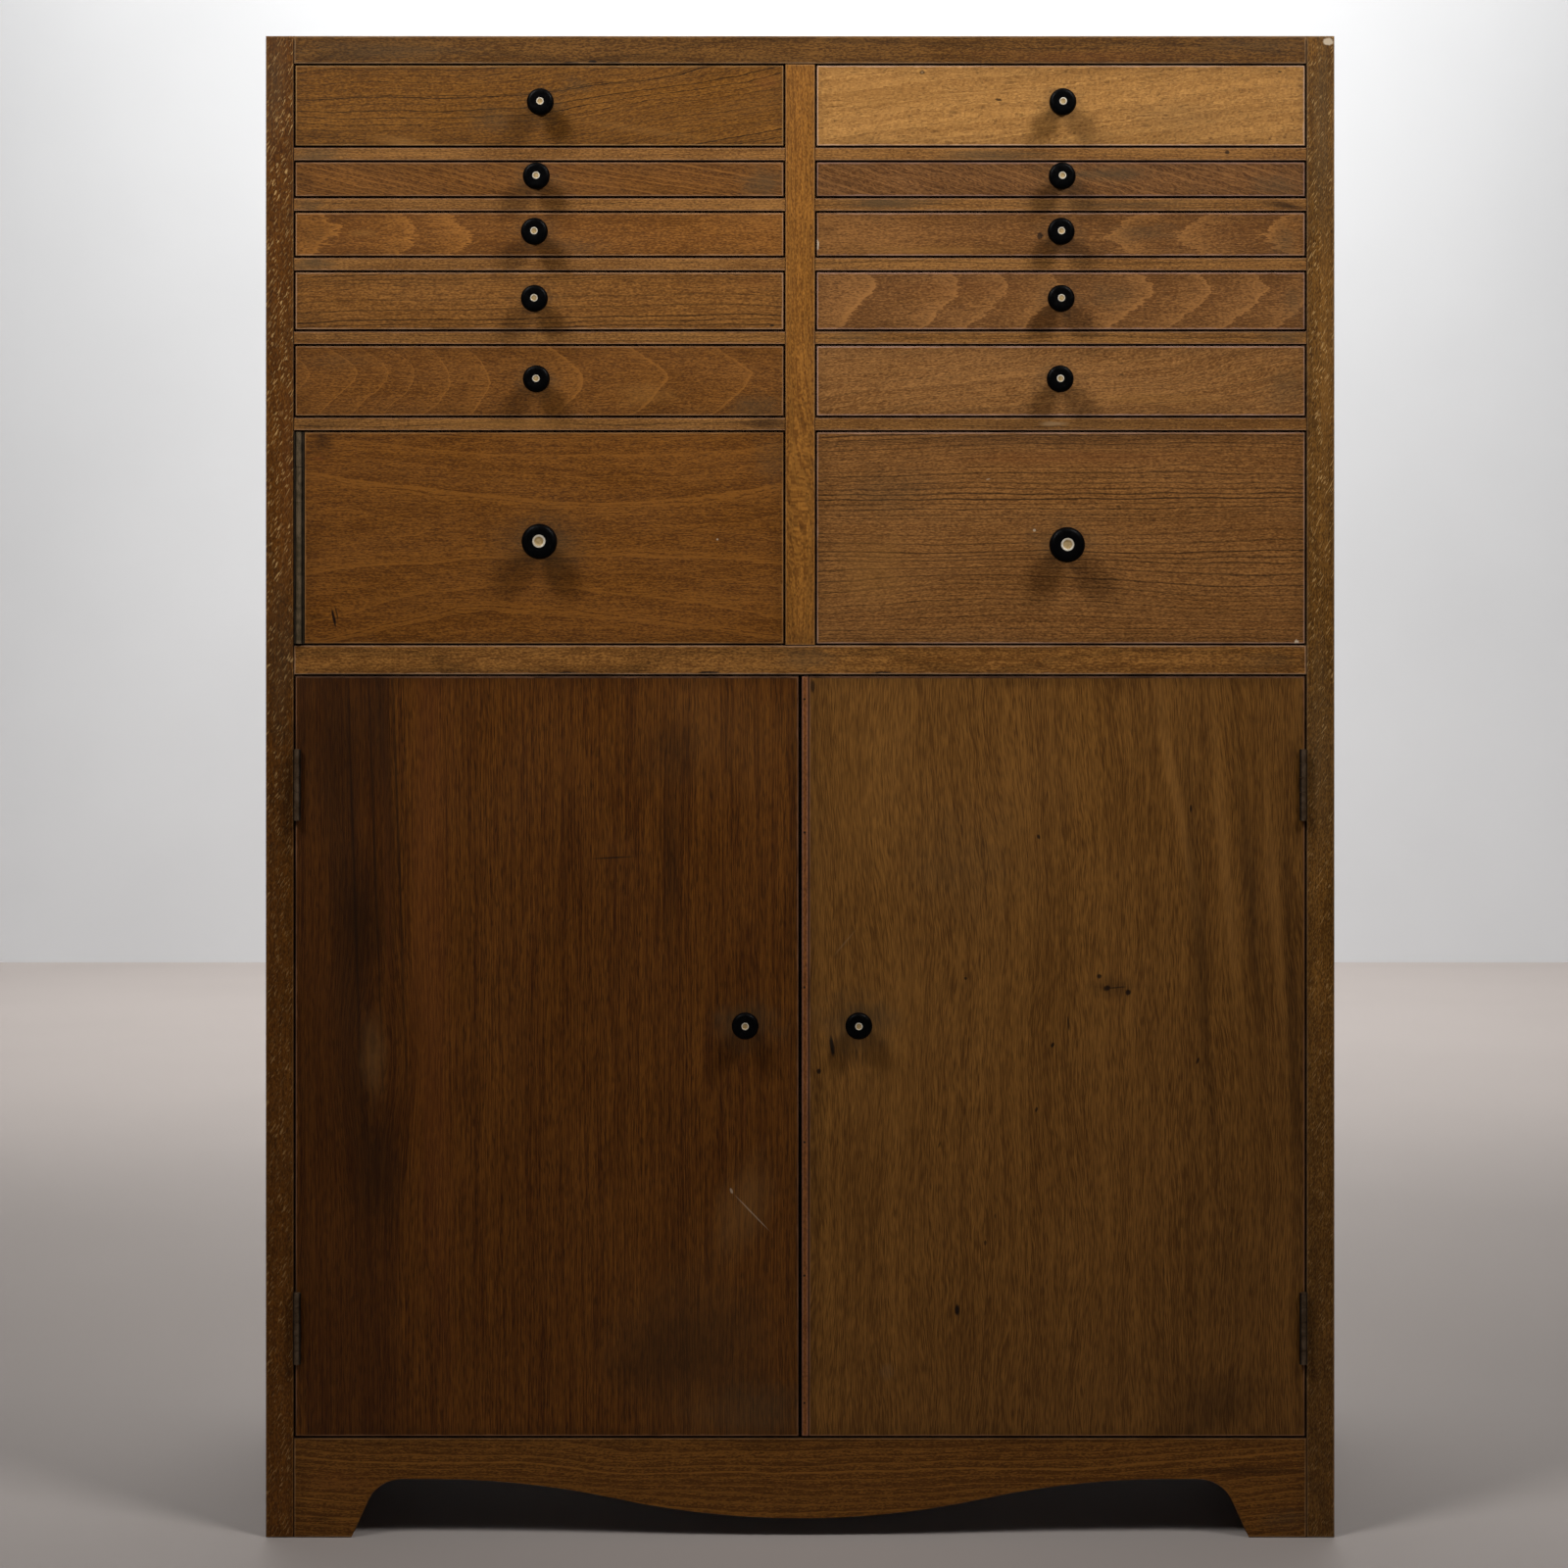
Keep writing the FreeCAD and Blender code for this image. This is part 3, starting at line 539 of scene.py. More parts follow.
def pin_heads(place, low, high, inset, pitch):
    """Round dark heads at an even pitch along a panel's border."""
    x, y, z = place.parts()
    heads = 0
    for along, across, axis, other in ((x, z, "x", "z"), (z, x, "z", "x")):
        step = (calc("FRACT", (along - getattr(low, axis)) / pitch) - 0.5) * pitch
        rows = getattr(low, other) + inset, getattr(high, other) - inset
        side = least(*(abs(across - row) for row in rows))
        heads = most(heads, calc("SQRT", step * step + side * side).ramp(1.9, 1.5))
    return heads


def rail_levels():
    """The lower and upper faces of the five rails, in millimetres, from the fronts that they part."""
    gap = bpy.context.scene.cabinet_sizes.front_gap
    levels = []
    for row in range(1, ROWS):
        below = "small_door" if row == ROWS - 1 else f"left_drawer_{row + 1}_front"
        levels.append((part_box(below)[1].z + gap) * MM)
        levels.append((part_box(f"left_drawer_{row}_front")[0].z - gap) * MM)
    return levels


def rails_beech(name, marks):
    """Beech for the ten rails in one material: each rail has its own figure, its own worn edges with their
    painted highlight, and painted shade by its gaps.
    """
    colours = bpy.context.scene.cabinet_colours
    material, place = new_material(name)
    low, high = corners("drawer_rails")
    x, y, z = place.parts()
    levels = rail_levels()
    number = calc("GREATER_THAN", x, 0)
    nearest = 100
    for lower, upper in zip(levels[::2], levels[1::2]):
        number = calc("GREATER_THAN", z, (lower + upper) / 2 - 15) * 2.0 + number
        nearest = least(least(nearest, abs(z - lower)), abs(z - upper))
    grained = along_grain(place, low, high, LEVEL_FRONT) + joined(number * 431.7, number * 63.1, 0)
    dark, light = tinted(colours.beech_dark, (1.2, 1.36, 1.74)), tinted(colours.beech_light, (1.24, 1.42, 1.8))
    wood = grain_colour(grained, dark, light, dict(RAIL_FIGURE))
    edge = most(nearest, y - low.y)
    # Worn line: the rubbed arrises and their painted highlight; seam: painted shade of the gaps beside each
    # rail
    worn = (edge + place.noise((9, 9, 9), 3, 0.6).centred(2.2)).ramp(1.3, 0.8)
    edge = SimpleNamespace(worn=worn, seam=edge.ramp(0.62, 0.38))
    return finish_wood(material, place, low, wood, wood.colour, edge, marks, 0.5)


# The figure, tone and marks of each board, in millimetres

TONGUES = dict(ring_tones=0.1, dark_lines=0.0, line_width=0.06)
BOARD = dict(grain=LEVEL_DEEP, spacing=7, sway=20, clouds=0.9, streaks=1.0, dark_lines=0.5, grit=3.2, hairs=1.8)
SIDE = dict(grain=UPRIGHT_SIDE, taper=0.05, spacing=7, sway=30, grit=3.0, hairs=1.6, worn=0.3)
FRONTS = {
    "left_drawer_1": dict(
        tint=(0.91, 0.93, 0.673), centre=(-170, 2000, 0), bend=0.3, spacing=4.6, sway=24, teeth=1.2,
        line_width=0.26, follow=True, seed=11, dark_lines=0.95, ring_shade=0.35,
        marks=[
            ("gold", 0.5, -283, 995, 34, 5, -8), ("gold", 0.25, -110, 1003, 60, 4, -8),
            ("grey", 0.35, -220, 1012, 26, 14), ("grey", 0.3, -160, 1035, 16, 10),
            ("rust", 0.3, -24, 1038, 14, 8), ("dark", 0.3, -345, 1000, 26, 6),
        ],
    ),
    "left_drawer_2": dict(
        tint=(0.865, 0.857, 0.839), centre=(0, 2000, 0), taper=-0.2, bend=0.1, spacing=4.2, sway=14, teeth=1.2,
        line_width=0.3, follow=True, seed=23, pale_lines=1.2, ring_shade=0.3, dark_lines=0.7,
        marks=[
            ("grey", 0.55, -26, 966, 26, 16), ("dark", 0.3, -352, 968, 10, 14),
            ("rust", 0.25, -180, 976, 30, 6),
        ],
    ),
    "left_drawer_3": dict(
        TONGUES, tint=(1.16, 1.16, 1.1), centre=(0, 2, -6), taper=0.7, contours=(-160, -96, -55, -28, 180),
        sway=16, teeth=13, seed=37, ring_shade=0.75, pale_lines=0.9,
        marks=[
            ("dark", 0.3, -345, 928, 18, 12), ("gold", 0.4, -312, 930, 14, 4), ("grey", 0.3, -160, 920, 30, 10),
        ],
    ),
    "left_drawer_4": dict(
        tint=(1.18, 1.25, 1.33), centre=(60, 2000, 0), bend=-0.14, spacing=3.4, sway=14, teeth=1.0,
        line_width=0.45, follow=True, seed=41, ring_shade=0.15, dark_lines=0.7,
        marks=[
            ("hole", 0.85, -95, 861.6, 3.5, 0.9), ("scratch", 0.9, -20, 864, 2.2, 1.0),
            ("dark", 0.3, -350, 868, 14, 10), ("rust", 0.25, -30, 895, 20, 6),
        ],
    ),
    "left_drawer_5": dict(
        TONGUES, tint=(0.931, 0.91, 0.813), centre=(0, 3, -9), taper=0.75,
        contours=(-175, -140, -116, -92, -74, -58, -37, -15, 34, 75, 117, 160), sway=26, teeth=1.6, seed=53,
        ring_shade=0.3, pale_lines=0.7,
        marks=[
            ("hole", 0.7, -344, 800, 3.5, 0.8), ("grey", 0.5, -32, 806, 30, 14),
            ("grey", 0.2, -330, 838, 40, 10), ("gold", 0.3, -110, 814, 34, 12),
        ],
    ),
    "right_drawer_1": dict(
        tint=(1.95, 2.44, 3.45), centre=(-300, 2000, 0), taper=0.12, spacing=10, sway=16, teeth=4, follow=True,
        worn=0.42, seed=61, dark_lines=0.15, ring_shade=0.4, hairs=0.8, streaks=0.3, dashes=0.32, grit=1.4,
        clouds=0.3,
        marks=[
            ("scratch", 0.7, 87, 1044.5, 2.4, 2.0), ("pale", 0.8, 87, 1044.5, 1.1, 0.9),
            ("scratch", 0.8, 141.5, 1025, 3.2, 1.1, -8), ("scratch", 0.7, 342, 1045, 2.0, 0.9),
            ("grey", 0.2, 270, 1012, 60, 16), ("gold", 0.3, 60, 1030, 60, 14),
        ],
    ),
    "right_drawer_2": dict(
        tint=(0.848, 0.912, 1.32), centre=(0, 2000, 0), taper=-0.3, spacing=5.6, sway=18, teeth=2.5,
        line_width=0.3, follow=True, seed=71, pale_lines=1.1, ring_shade=0.35, dark_lines=0.5,
        marks=[
            ("grey", 0.6, 222, 972, 40, 8), ("grey", 0.45, 340, 964, 26, 12), ("dark", 0.3, 30, 966, 26, 6),
        ],
    ),
    "right_drawer_3": dict(
        TONGUES, tint=(1.1, 1.2, 1.6), centre=(0, 2, -6), taper=-0.7, contours=(-150, -96, -57, -22, 160),
        sway=18, teeth=15, seed=83, ring_shade=0.7, pale_lines=0.8,
        marks=[
            ("gold", 0.45, 90, 917.5, 78, 4.5), ("grey", 0.4, 245, 930, 40, 10),
            ("grey", 0.4, 345, 924, 14, 16), ("hole", 0.8, 171, 928, 2.6, 3.0),
            ("chip", 0.9, 12.2, 921.5, 1.4, 4.6), ("dark", 0.3, 20, 932, 14, 10),
        ],
    ),
    "right_drawer_4": dict(
        tint=(1.14, 1.26, 1.8), centre=(0, 9, -5), taper=0.8,
        contours=(-170, -97, -50, -24, 7, 58, 90, 121, 150), sway=14, teeth=8, line_width=0.07, seed=97,
        ring_shade=0.65, ring_tones=0.1, dark_lines=0.0, pale_lines=0.7, clouds=0.5,
        marks=[
            ("grey", 0.35, 222, 885, 26, 16), ("grey", 0.35, 352, 880, 12, 18),
            ("rust", 0.15, 120, 890, 80, 10),
        ],
    ),
    "right_drawer_5": dict(
        tint=(1.36, 1.56, 2.28), centre=(0, 2000, 0), taper=0.12, bend=0.05, spacing=7, sway=26, teeth=1.5,
        line_width=0.25, follow=True, seed=101, ring_shade=0.4, dark_lines=0.5, pale_lines=0.1,
        marks=[
            ("scratch", 0.6, 229, 829, 2.2, 0.8), ("grey", 0.35, 345, 820, 20, 20),
            ("gold", 0.3, 250, 812, 70, 6),
        ],
    ),
    "right_drawer_6": dict(
        tint=(1.21, 1.32, 1.73), centre=(30, 2000, 0), bend=-0.05, spacing=3.4, sway=20, teeth=1.2,
        line_width=0.45, follow=True, seed=113, ring_shade=0.15, dark_lines=0.75, clouds=0.5,
        marks=[
            ("dark", 0.3, 190, 784, 190, 12), ("rust", 0.3, 200, 770, 120, 8),
            ("chip", 0.4, 134, 754.4, 1.8, 0.5, 12), ("chip", 0.6, 167, 718, 1.2, 1.2),
            ("scratch", 0.6, 227, 735, 2.2, 0.9), ("chip", 1.0, 354, 637, 2.0, 3.4),
            ("grey", 0.25, 60, 745, 50, 26), ("gold", 0.3, 50, 690, 40, 36),
        ],
    ),
    "small_door": dict(
        tint=(0.898, 0.83, 0.563), centre=(0, 10, -4), bend=-0.5, taper=0.02, spacing=16, sway=36, teeth=1.6,
        line_width=0.08, hairs=1.7, seed=127, ring_shade=0.35, ring_tones=0.12, dark_lines=0.25, pale_lines=0.6,
        clouds=0.5,
        marks=[
            ("dark", 0.6, -341, 781, 11, 15), ("rust", 0.5, -344, 769, 7, 2.5),
            ("hole", 0.95, -332.5, 655.5, 1.3, 8.5, 12), ("scratch", 0.7, -330.5, 659, 0.7, 6.0, 14),
            ("dark", 0.5, -345, 656, 12, 3), ("chip", 0.7, -59, 711.5, 0.8, 0.8),
            ("grey", 0.3, -183, 705, 50, 40), ("grey", 0.3, -20, 770, 20, 26),
        ],
    ),
}
CASE = {
    "left_side": dict(
        SIDE, tint=(0.64, 0.567, 0.284), centre=(60, 215, -40), seed=5, flecks=1.0, border_darkening=0.25,
        marks=[
            ("grey", 0.35, -374, 1040, 12, 60), ("grey", 0.3, -370, 620, 14, 90),
            # The dark marks at 330 and 560 paint the front edge darker towards the bottom: painted shade.
            ("rust", 0.2, -366, 760, 8, 90), ("dark", 0.2, -371, 330, 16, 420),
            ("dark", 0.24, -371, 560, 14, 190),
        ],
    ),
    "right_side": dict(
        SIDE, tint=(0.848, 0.947, 0.825), centre=(-40, 200, -40), seed=17, flecks=0.9, border_darkening=0.3,
        marks=[
            ("grey", 0.45, 372, 1010, 10, 120), ("grey", 0.4, 371, 560, 12, 120),
            # The dark mark at 120 paints the front edge darker towards the bottom: painted shade.
            ("gold", 0.25, 375, 830, 6, 150), ("dark", 0.35, 371, 120, 16, 330),
            ("chip", 0.9, 376.5, 1066.5, 4.5, 3.0),
        ],
    ),
    "top_board": dict(
        BOARD, tint=(0.659, 0.718, 0.681), centre=(0, 190, -70), seed=29,
        marks=[
            ("hole", 0.95, -163, 1051.2, 7, 1.4), ("hole", 0.9, -148, 1052, 4, 1.6),
            ("hole", 0.85, -133, 1051.2, 6, 1.3), ("grey", 0.35, -300, 1060, 90, 10),
            ("grey", 0.3, 330, 1064, 60, 8), ("rust", 0.25, 200, 1056, 120, 6),
        ],
    ),
    "centre_divider": dict(
        grain=UPRIGHT_FRONT, tint=(1.42, 1.46, 1.15), centre=(-120, -34, -4), eye=(-95, 0, 0), push=0.85,
        taper=0.03, spacing=3.2, sway=16, follow=True, worn=0.2, hairs=1.8, pale_lines=0.4, seed=31, teeth=1.2,
        ring_shade=0.5, dark_lines=0.6,
        marks=[
            ("dark", 0.3, 2, 640, 10, 10),
        ],
    ),
    "middle_board": dict(
        BOARD, tint=(1.29, 1.41, 1.54), centre=(0, 190, -50), seed=43,
        marks=[
            ("hole", 0.95, -166, 616, 8, 1.6), ("hole", 0.95, -65, 616.2, 10, 1.8),
            # The long thin black mark at 615 along the lower arris is painted shade of the gap above the doors.
            ("hole", 0.95, 59, 616, 9, 1.6), ("hole", 0.95, 0, 615, 900, 1.3), ("grey", 0.45, 5, 626, 30, 12),
            ("grey", 0.3, 330, 624, 40, 10), ("dark", 0.3, -200, 617, 160, 4),
        ],
    ),
    "bottom_board": dict(
        grain=LEVEL_DEEP, centre=(0, 190, -50), spacing=9, sway=20, seed=47,
    ),
    "apron": dict(
        grain=LEVEL_FRONT, tint=(0.803, 0.803, 0.605), centre=(0, -2000, 0), eye=(-119, 34, 0), push=0.85,
        spacing=5.2, sway=22, teeth=1.4, line_width=0.3, grit=2.8, hairs=2.2, bend=-0.1, seed=59,
        ring_shade=0.9, dark_lines=0.95, pale_lines=0.9,
        marks=[
            ("dark", 0.6, 315, 47, 62, 4), ("dark", 0.35, -340, 14, 14, 6), ("grey", 0.35, 345, 12, 26, 12),
            ("rust", 0.2, -330, 40, 40, 12),
        ],
    ),
}
RAIL_FIGURE = dict(
    centre=(0, 4000, -30), spacing=3.0, ring_shade=0.4, clouds=1.3, streaks=1.1, sway=16, dark_lines=0.6,
)
RAIL_MARKS = [
    ("grey", 0.6, -345, 985, 30, 8), ("grey", 0.7, -346, 908, 22, 8), ("grey", 0.5, -350, 949, 14, 7),
    ("dark", 0.7, -25, 794, 30, 8), ("dark", 0.4, -340, 793, 30, 5), ("gold", 0.4, -200, 794, 90, 5),
    ("grey", 0.6, 140, 985, 60, 6), ("hole", 0.8, 304.5, 987.5, 2.2, 1.8), ("grey", 0.7, 62, 952, 55, 7),
    ("dark", 0.8, 345, 950, 24, 4, -8), ("grey", 0.4, 230, 950, 90, 5), ("grey", 0.5, 345, 856, 26, 8),
    ("grey", 0.4, 40, 856, 26, 6), ("dark", 0.4, 190, 793, 180, 7), ("pale", 0.7, 180, 794, 13, 2.2),
]
# For each cupboard door the strength and size of the patch round its knob, and its figure
DOORS = {
    "left": ((0.45, 1.4), dict(sway=5, teeth=0.25, seed=3, eye=(2, -123, 0), push=0.8)),
    "right": ((0.5, 1.5), dict(
        centre=(-160, 600, 0), bend=-0.05, sway=26, teeth=0.4, seed=19,
        hairs=2.8, threads=0.5, pores=0.25, bands=1.0, rings=0.2,
    )),
}
DOOR_MARKS = {
    "left": [
        # The long thin black mark at 614 along the top edge is painted shade of the gap under the middle board.
        ("hole", 0.97, -180, 614, 460, 2.0), ("shade", 0.42, -325, 380, 44, 620, 1),
        ("dark", 0.8, -318, 470, 2.0, 260, 2), ("dark", 0.8, -303, 480, 1.7, 240, 2),
        ("dark", 0.85, -286, 480, 1.7, 280, 2), ("rust", 0.25, -295, 500, 4, 200, 1),
        ("dark", 0.4, -322, 420, 20, 330, 3), ("dark", 0.55, -297, 560, 9, 170, 3),
        ("dark", 0.6, -312, 440, 26, 70), ("rust", 0.3, -262, 420, 24, 420, 1),
        ("tan", 0.16, -70, 130, 90, 120), ("tan", 0.1, -60, 570, 90, 60), ("dark", 0.32, -330, 570, 70, 90),
        ("dark", 0.12, -320, 330, 60, 120), ("tan", 0.3, -304, 343, 13, 42), ("dark", 0.4, -304, 352, 4, 9),
        ("rust", 0.45, -39.5, 306, 0.8, 44), ("dark", 0.5, -300, 260, 26, 60), ("dark", 0.45, -92, 480, 10, 80),
        ("dark", 0.4, -90, 560, 30, 30), ("scratch", 0.7, -134, 484.5, 18, 0.8, 3),
        # The long thin black mark at -360 along the hinge edge is painted shade of the gap beside the side.
        ("tan", 0.34, -40, 236, 26, 56, -20), ("hole", 0.85, -360, 346, 1.0, 264),
        ("chip", 0.5, -49, 247, 1.0, 2.4, 20), ("chip", 0.3, -34, 231, 21, 0.6, -46),
        ("dark", 0.5, -80, 130, 90, 60), ("grey", 0.35, -30, 90, 60, 30),
    ],
    "right": [
        # The long thin black mark at 614 along the top edge is painted shade of the gap under the middle board.
        ("hole", 0.97, 180, 614, 460, 2.0), ("scratch", 0.7, 6.5, 343, 0.7, 420),
        ("dark", 0.14, 330, 340, 90, 520), ("dark", 0.16, 200, 80, 240, 140), ("gold", 0.12, 50, 540, 70, 110),
        ("gold", 0.1, 60, 350, 60, 110), ("hole", 0.85, 170, 499.5, 1.4, 2.2, 20),
        ("hole", 0.85, 278.5, 519.5, 1.0, 3.6), ("hole", 0.8, 118, 398.5, 1.4, 1.4),
        ("hole", 0.85, 213.3, 400, 2.2, 2.0), ("hole", 0.9, 218.8, 391.5, 3.2, 2.4, 20),
        ("hole", 0.9, 233.8, 388.6, 2.6, 2.6, 20), ("scratch", 0.7, 226, 392, 9, 0.7, 5),
        ("dark", 0.45, 222, 393, 22, 12), ("scratch", 0.8, 191.2, 366.5, 0.9, 6.5, 4),
        ("hole", 0.9, 180, 351, 1.4, 2.6, -20), ("hole", 0.85, 283.4, 339.7, 1.2, 3.2, -20),
        ("hole", 0.85, 168.5, 305, 1.2, 2.4, -15), ("hole", 0.95, 22.8, 350, 2.0, 9.5, 8),
        ("hole", 0.9, 13.3, 332.3, 2.0, 2.4), ("scratch", 0.6, 99, 279.6, 0.8, 3.0, -20),
        ("hole", 0.95, 112, 162, 2.2, 5.2), ("scratch", 0.8, 132, 210, 1.2, 2.4),
        ("scratch", 0.6, 139, 229, 0.8, 2.2), ("scratch", 0.65, 40, 344, 0.8, 7),
        ("scratch", 0.55, 44.5, 341, 0.7, 8), ("pale", 0.25, 32, 424, 0.9, 15, -40),
        ("dark", 0.42, 284, 430, 8, 210, 4), ("dark", 0.4, 320, 470, 8, 190, 5),
        ("dark", 0.4, 350, 380, 7, 230, 2), ("gold", 0.4, 268, 530, 7, 120, 10),
        ("gold", 0.36, 303, 480, 8, 170, 5), ("gold", 0.3, 338, 450, 7, 160, 4), ("hole", 0.7, 9, 607, 2.2, 6),
        ("scratch", 0.3, 259, 190, 0.6, 114), ("dark", 0.16, 306, 200, 52, 130),
        ("dark", 0.4, 298, 94, 62, 32, 25), ("grey", 0.15, 120, 480, 60, 60), ("pale", 0.12, 62, 118, 8, 8),
    ],
}
STRIP = dict(
    grain=UPRIGHT_FRONT, tint=(1.08, 0.99, 1.4), centre=(0, 40, -4), spacing=2.5, sway=4,
    border_darkening=0.1, worn=0.35, seed=7,
)
INSIDE = {
    "cupboard_shelf": ("shelf_wood", LEVEL_DEEP),
    "shelf_battens": ("batten_wood", DEEP_SIDE),
    "drawer_runners": ("runner_wood", DEEP_SIDE),
    "glue_blocks": ("glue_block_wood", LEVEL_FRONT),
}

# The pins round the plywood back, in millimetres
BACK_PINS = {"inset": 6, "pitch": 82}
# The heights of the pins in the meeting strip
STRIP_PINS = (0.0958, 0.1866, 0.2817, 0.3921, 0.5026, 0.5976)
# The largest radius of a small knob
SMALL_KNOB_LIMIT = 0.011
# The hollow of a disc as a share of its radius
DISH = 0.62


def coat(mesh, *materials):
    mesh.materials.clear()
    for material in materials:
        mesh.materials.append(material)


def dress(node, *materials):
    """Give a CAD node its materials."""
    coat(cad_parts[node].data, *materials)


def knob_halo(name, strength=0.4, size=1.0):
    """The rubbed, greasy patch round a knob."""
    low, high = corners(f"{name}_knob")
    x, z = (low.x + high.x) / 2, (low.z + high.z) / 2
    reach = (high.x - low.x) * size
    near = reach * 0.72
    return [("grey", strength, x, z, reach * 1.3, reach), ("grease", strength * 0.4, x, z, near, near)]


def front_of(name):
    """The node of the board that closes a drawer or a door."""
    return f"{name}_front" if "drawer" in name else name


class CABINET_OT_case(bpy.types.Operator):
    """Finish the sides, boards, divider, rails and apron"""

    bl_idname = "cabinet.case"
    bl_label = "Case timber"

    def execute(self, context):
        for node, look in CASE.items():
            dress(node, beech(f"{node}_beech", node, **look))
        dress("drawer_rails", rails_beech("rail_beech", RAIL_MARKS))
        return {"FINISHED"}


class CABINET_OT_drawers(bpy.types.Operator):
    """Finish the eleven drawers and the small door"""

    bl_idname = "cabinet.drawers"
    bl_label = "Drawers"

    def execute(self, context):
        for name, look in FRONTS.items():
            look = {**look, "marks": [*knob_halo(name), *look["marks"]]}
            dress(front_of(name), beech(f"{name}_beech", front_of(name), LEVEL_FRONT, **look))
        wood = context.scene.cabinet_colours.drawer_wood
        for name in FRONTS:
            if "drawer" in name:
                dress(f"{name}_box", raw_wood(f"{name}_box_wood", f"{name}_box", DEEP_SIDE, wood))
        return {"FINISHED"}


class CABINET_OT_doors(bpy.types.Operator):
    """Finish the two cupboard doors and their meeting strip"""

    bl_idname = "cabinet.doors"
    bl_label = "Cupboard doors"

    def execute(self, context):
        colours = context.scene.cabinet_colours
        for bank, (halo, look) in DOORS.items():
            tones = [getattr(colours, f"{bank}_veneer_{tone}") for tone in ("dark", "light")]
            marks = [*DOOR_MARKS[bank], *knob_halo(f"{bank}_door", *halo)]
            dress(f"{bank}_door", veneer(f"{bank}_door_veneer", f"{bank}_door", *tones, marks, **look))
        dress("meeting_strip", beech("strip_hardwood", "meeting_strip", **STRIP))
        return {"FINISHED"}


class CABINET_OT_inside(bpy.types.Operator):
    """Finish the shelf, battens, runners, glue blocks and plywood back"""

    bl_idname = "cabinet.inside"
    bl_label = "Inside timber"

    def execute(self, context):
        colours = context.scene.cabinet_colours
        for node, (name, grain) in INSIDE.items():
            dress(node, raw_wood(name, node, grain, colours.carcass_wood))
        look = dict(pins=BACK_PINS, spacing=16.0, sway=60.0)
        dress("back_panel", raw_wood("back_ply_wood", "back_panel", UPRIGHT_FRONT, colours.back_ply, **look))
        return {"FINISHED"}


# Metal and knobs


def metal(name, colour, worn, rough=0.42, scale=6.0, metallic=0.9, patina=0.6, specular=0.5, knuckle=None):
    """Old metal with a dark patina, bright where rubbed, with painted shade on the flanks of a knuckle so far
    out and so wide.
    """
    material, place = new_material(name)
    cloud, speck = place.noise((scale,) * 3, 4, 0.6), place.noise((0.7, 0.7, 0.7))
    tint = cloud.ramp(0.38, 0.62).between(tinted(colour), tinted(worn)).darker(speck.ramp(0.55, 0.72), patina)
    if knuckle:
        out, wide = knuckle
        x, y, z = place.parts()
        # Painted shade on the knuckle's flanks where it stands proud of the front
        knuckle_flank_shade = abs(abs(x) - out).ramp(wide * 0.35, wide * 0.8)
        tint = tint.darker(knuckle_flank_shade * y.ramp(FRONT * MM + 2, FRONT * MM - 0.5), 0.85)
    return surface(material, tint, cloud.centred(0.5) + rough, speck, specular=specular, metallic=metallic)


def knob_black(name):
    """Black turned knobs, polished by use, with faint turning lines and rubs."""
    material, place = new_material(name)
    black = tinted(bpy.context.scene.cabinet_colours.knob)
    scuff = place.noise((0.8, 3.0, 0.8), 3, 0.6)
    tint = place.noise((5, 5, 5), 4, 0.65).ramp(0.5, 0.7).between(black, (0.004, 0.0038, 0.004, 1))
    return surface(material, tint, scuff.ramp(0.35, 0.7, 0.30, 0.52), scuff, 0.12, specular=0.045)


def pick(*objs):
    """Leave edit mode and select these pieces alone, the last one active."""
    if bpy.context.mode != "OBJECT":
        bpy.ops.object.mode_set(mode="OBJECT")
    bpy.ops.object.select_all(action="DESELECT")
    for obj in objs:
        obj.select_set(True)
        bpy.context.view_layer.objects.active = obj


def edit(obj):
    """Open one piece for modelling, with everything of it selected."""
    pick(obj)
    bpy.ops.object.mode_set(mode="EDIT")
    bpy.ops.mesh.select_all(action="SELECT")


def settle(obj, name, angle=35):
    """Turn the faces outwards, smooth the soft edges and put the origin back at zero."""
    if bpy.context.mode != "OBJECT":
        bpy.ops.mesh.select_all(action="SELECT")
        bpy.ops.mesh.normals_make_consistent(inside=False)
    pick(obj)
    bpy.ops.object.transform_apply(location=True, rotation=True, scale=True)
    bpy.ops.object.shade_smooth_by_angle(angle=math.radians(angle))
    obj.name = obj.data.name = name
    return obj


def drawn(outline, sides):
    """A form about the Y axis, still open, drawn out ring by ring along (radius, y) points."""
    pick()
    radius, y = outline[0]
    upright = (math.pi / 2, 0, 0)
    bpy.ops.mesh.primitive_circle_add(vertices=sides, radius=radius, fill_type="NGON", rotation=upright)
    obj = bpy.context.object
    bpy.ops.object.transform_apply(location=False, rotation=True, scale=False)
    edit(obj)
    bpy.ops.transform.translate(value=(0, y, 0))
    for new_radius, new_y in outline[1:]:
        bpy.ops.mesh.extrude_region_move(TRANSFORM_OT_translate={"value": (0, new_y - y, 0)})
        grow = new_radius / radius
        bpy.ops.transform.resize(value=(grow, 1, grow), center_override=(0, new_y, 0))
        radius, y = new_radius, new_y
    return obj


def turned(name, outline, sides):
    return settle(drawn(outline, sides), name)


def copied(master, name, place, turn=(0, 0, 0)):
    """A copy of a finished piece with its own mesh, turned and moved to its place."""
    obj = master.copy()
    obj.data = master.data.copy()
    obj.name = obj.data.name = name
    bpy.context.scene.collection.objects.link(obj)
    obj.rotation_euler, obj.location = turn, place
    pick(obj)
    bpy.ops.object.transform_apply(location=True, rotation=True, scale=False)
    return obj


def fit(piece, slot, body, *materials):
    """Give a new piece its materials and the body that it rides on. The slot is not used."""
    coat(piece.data, *materials)
    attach(piece, body)


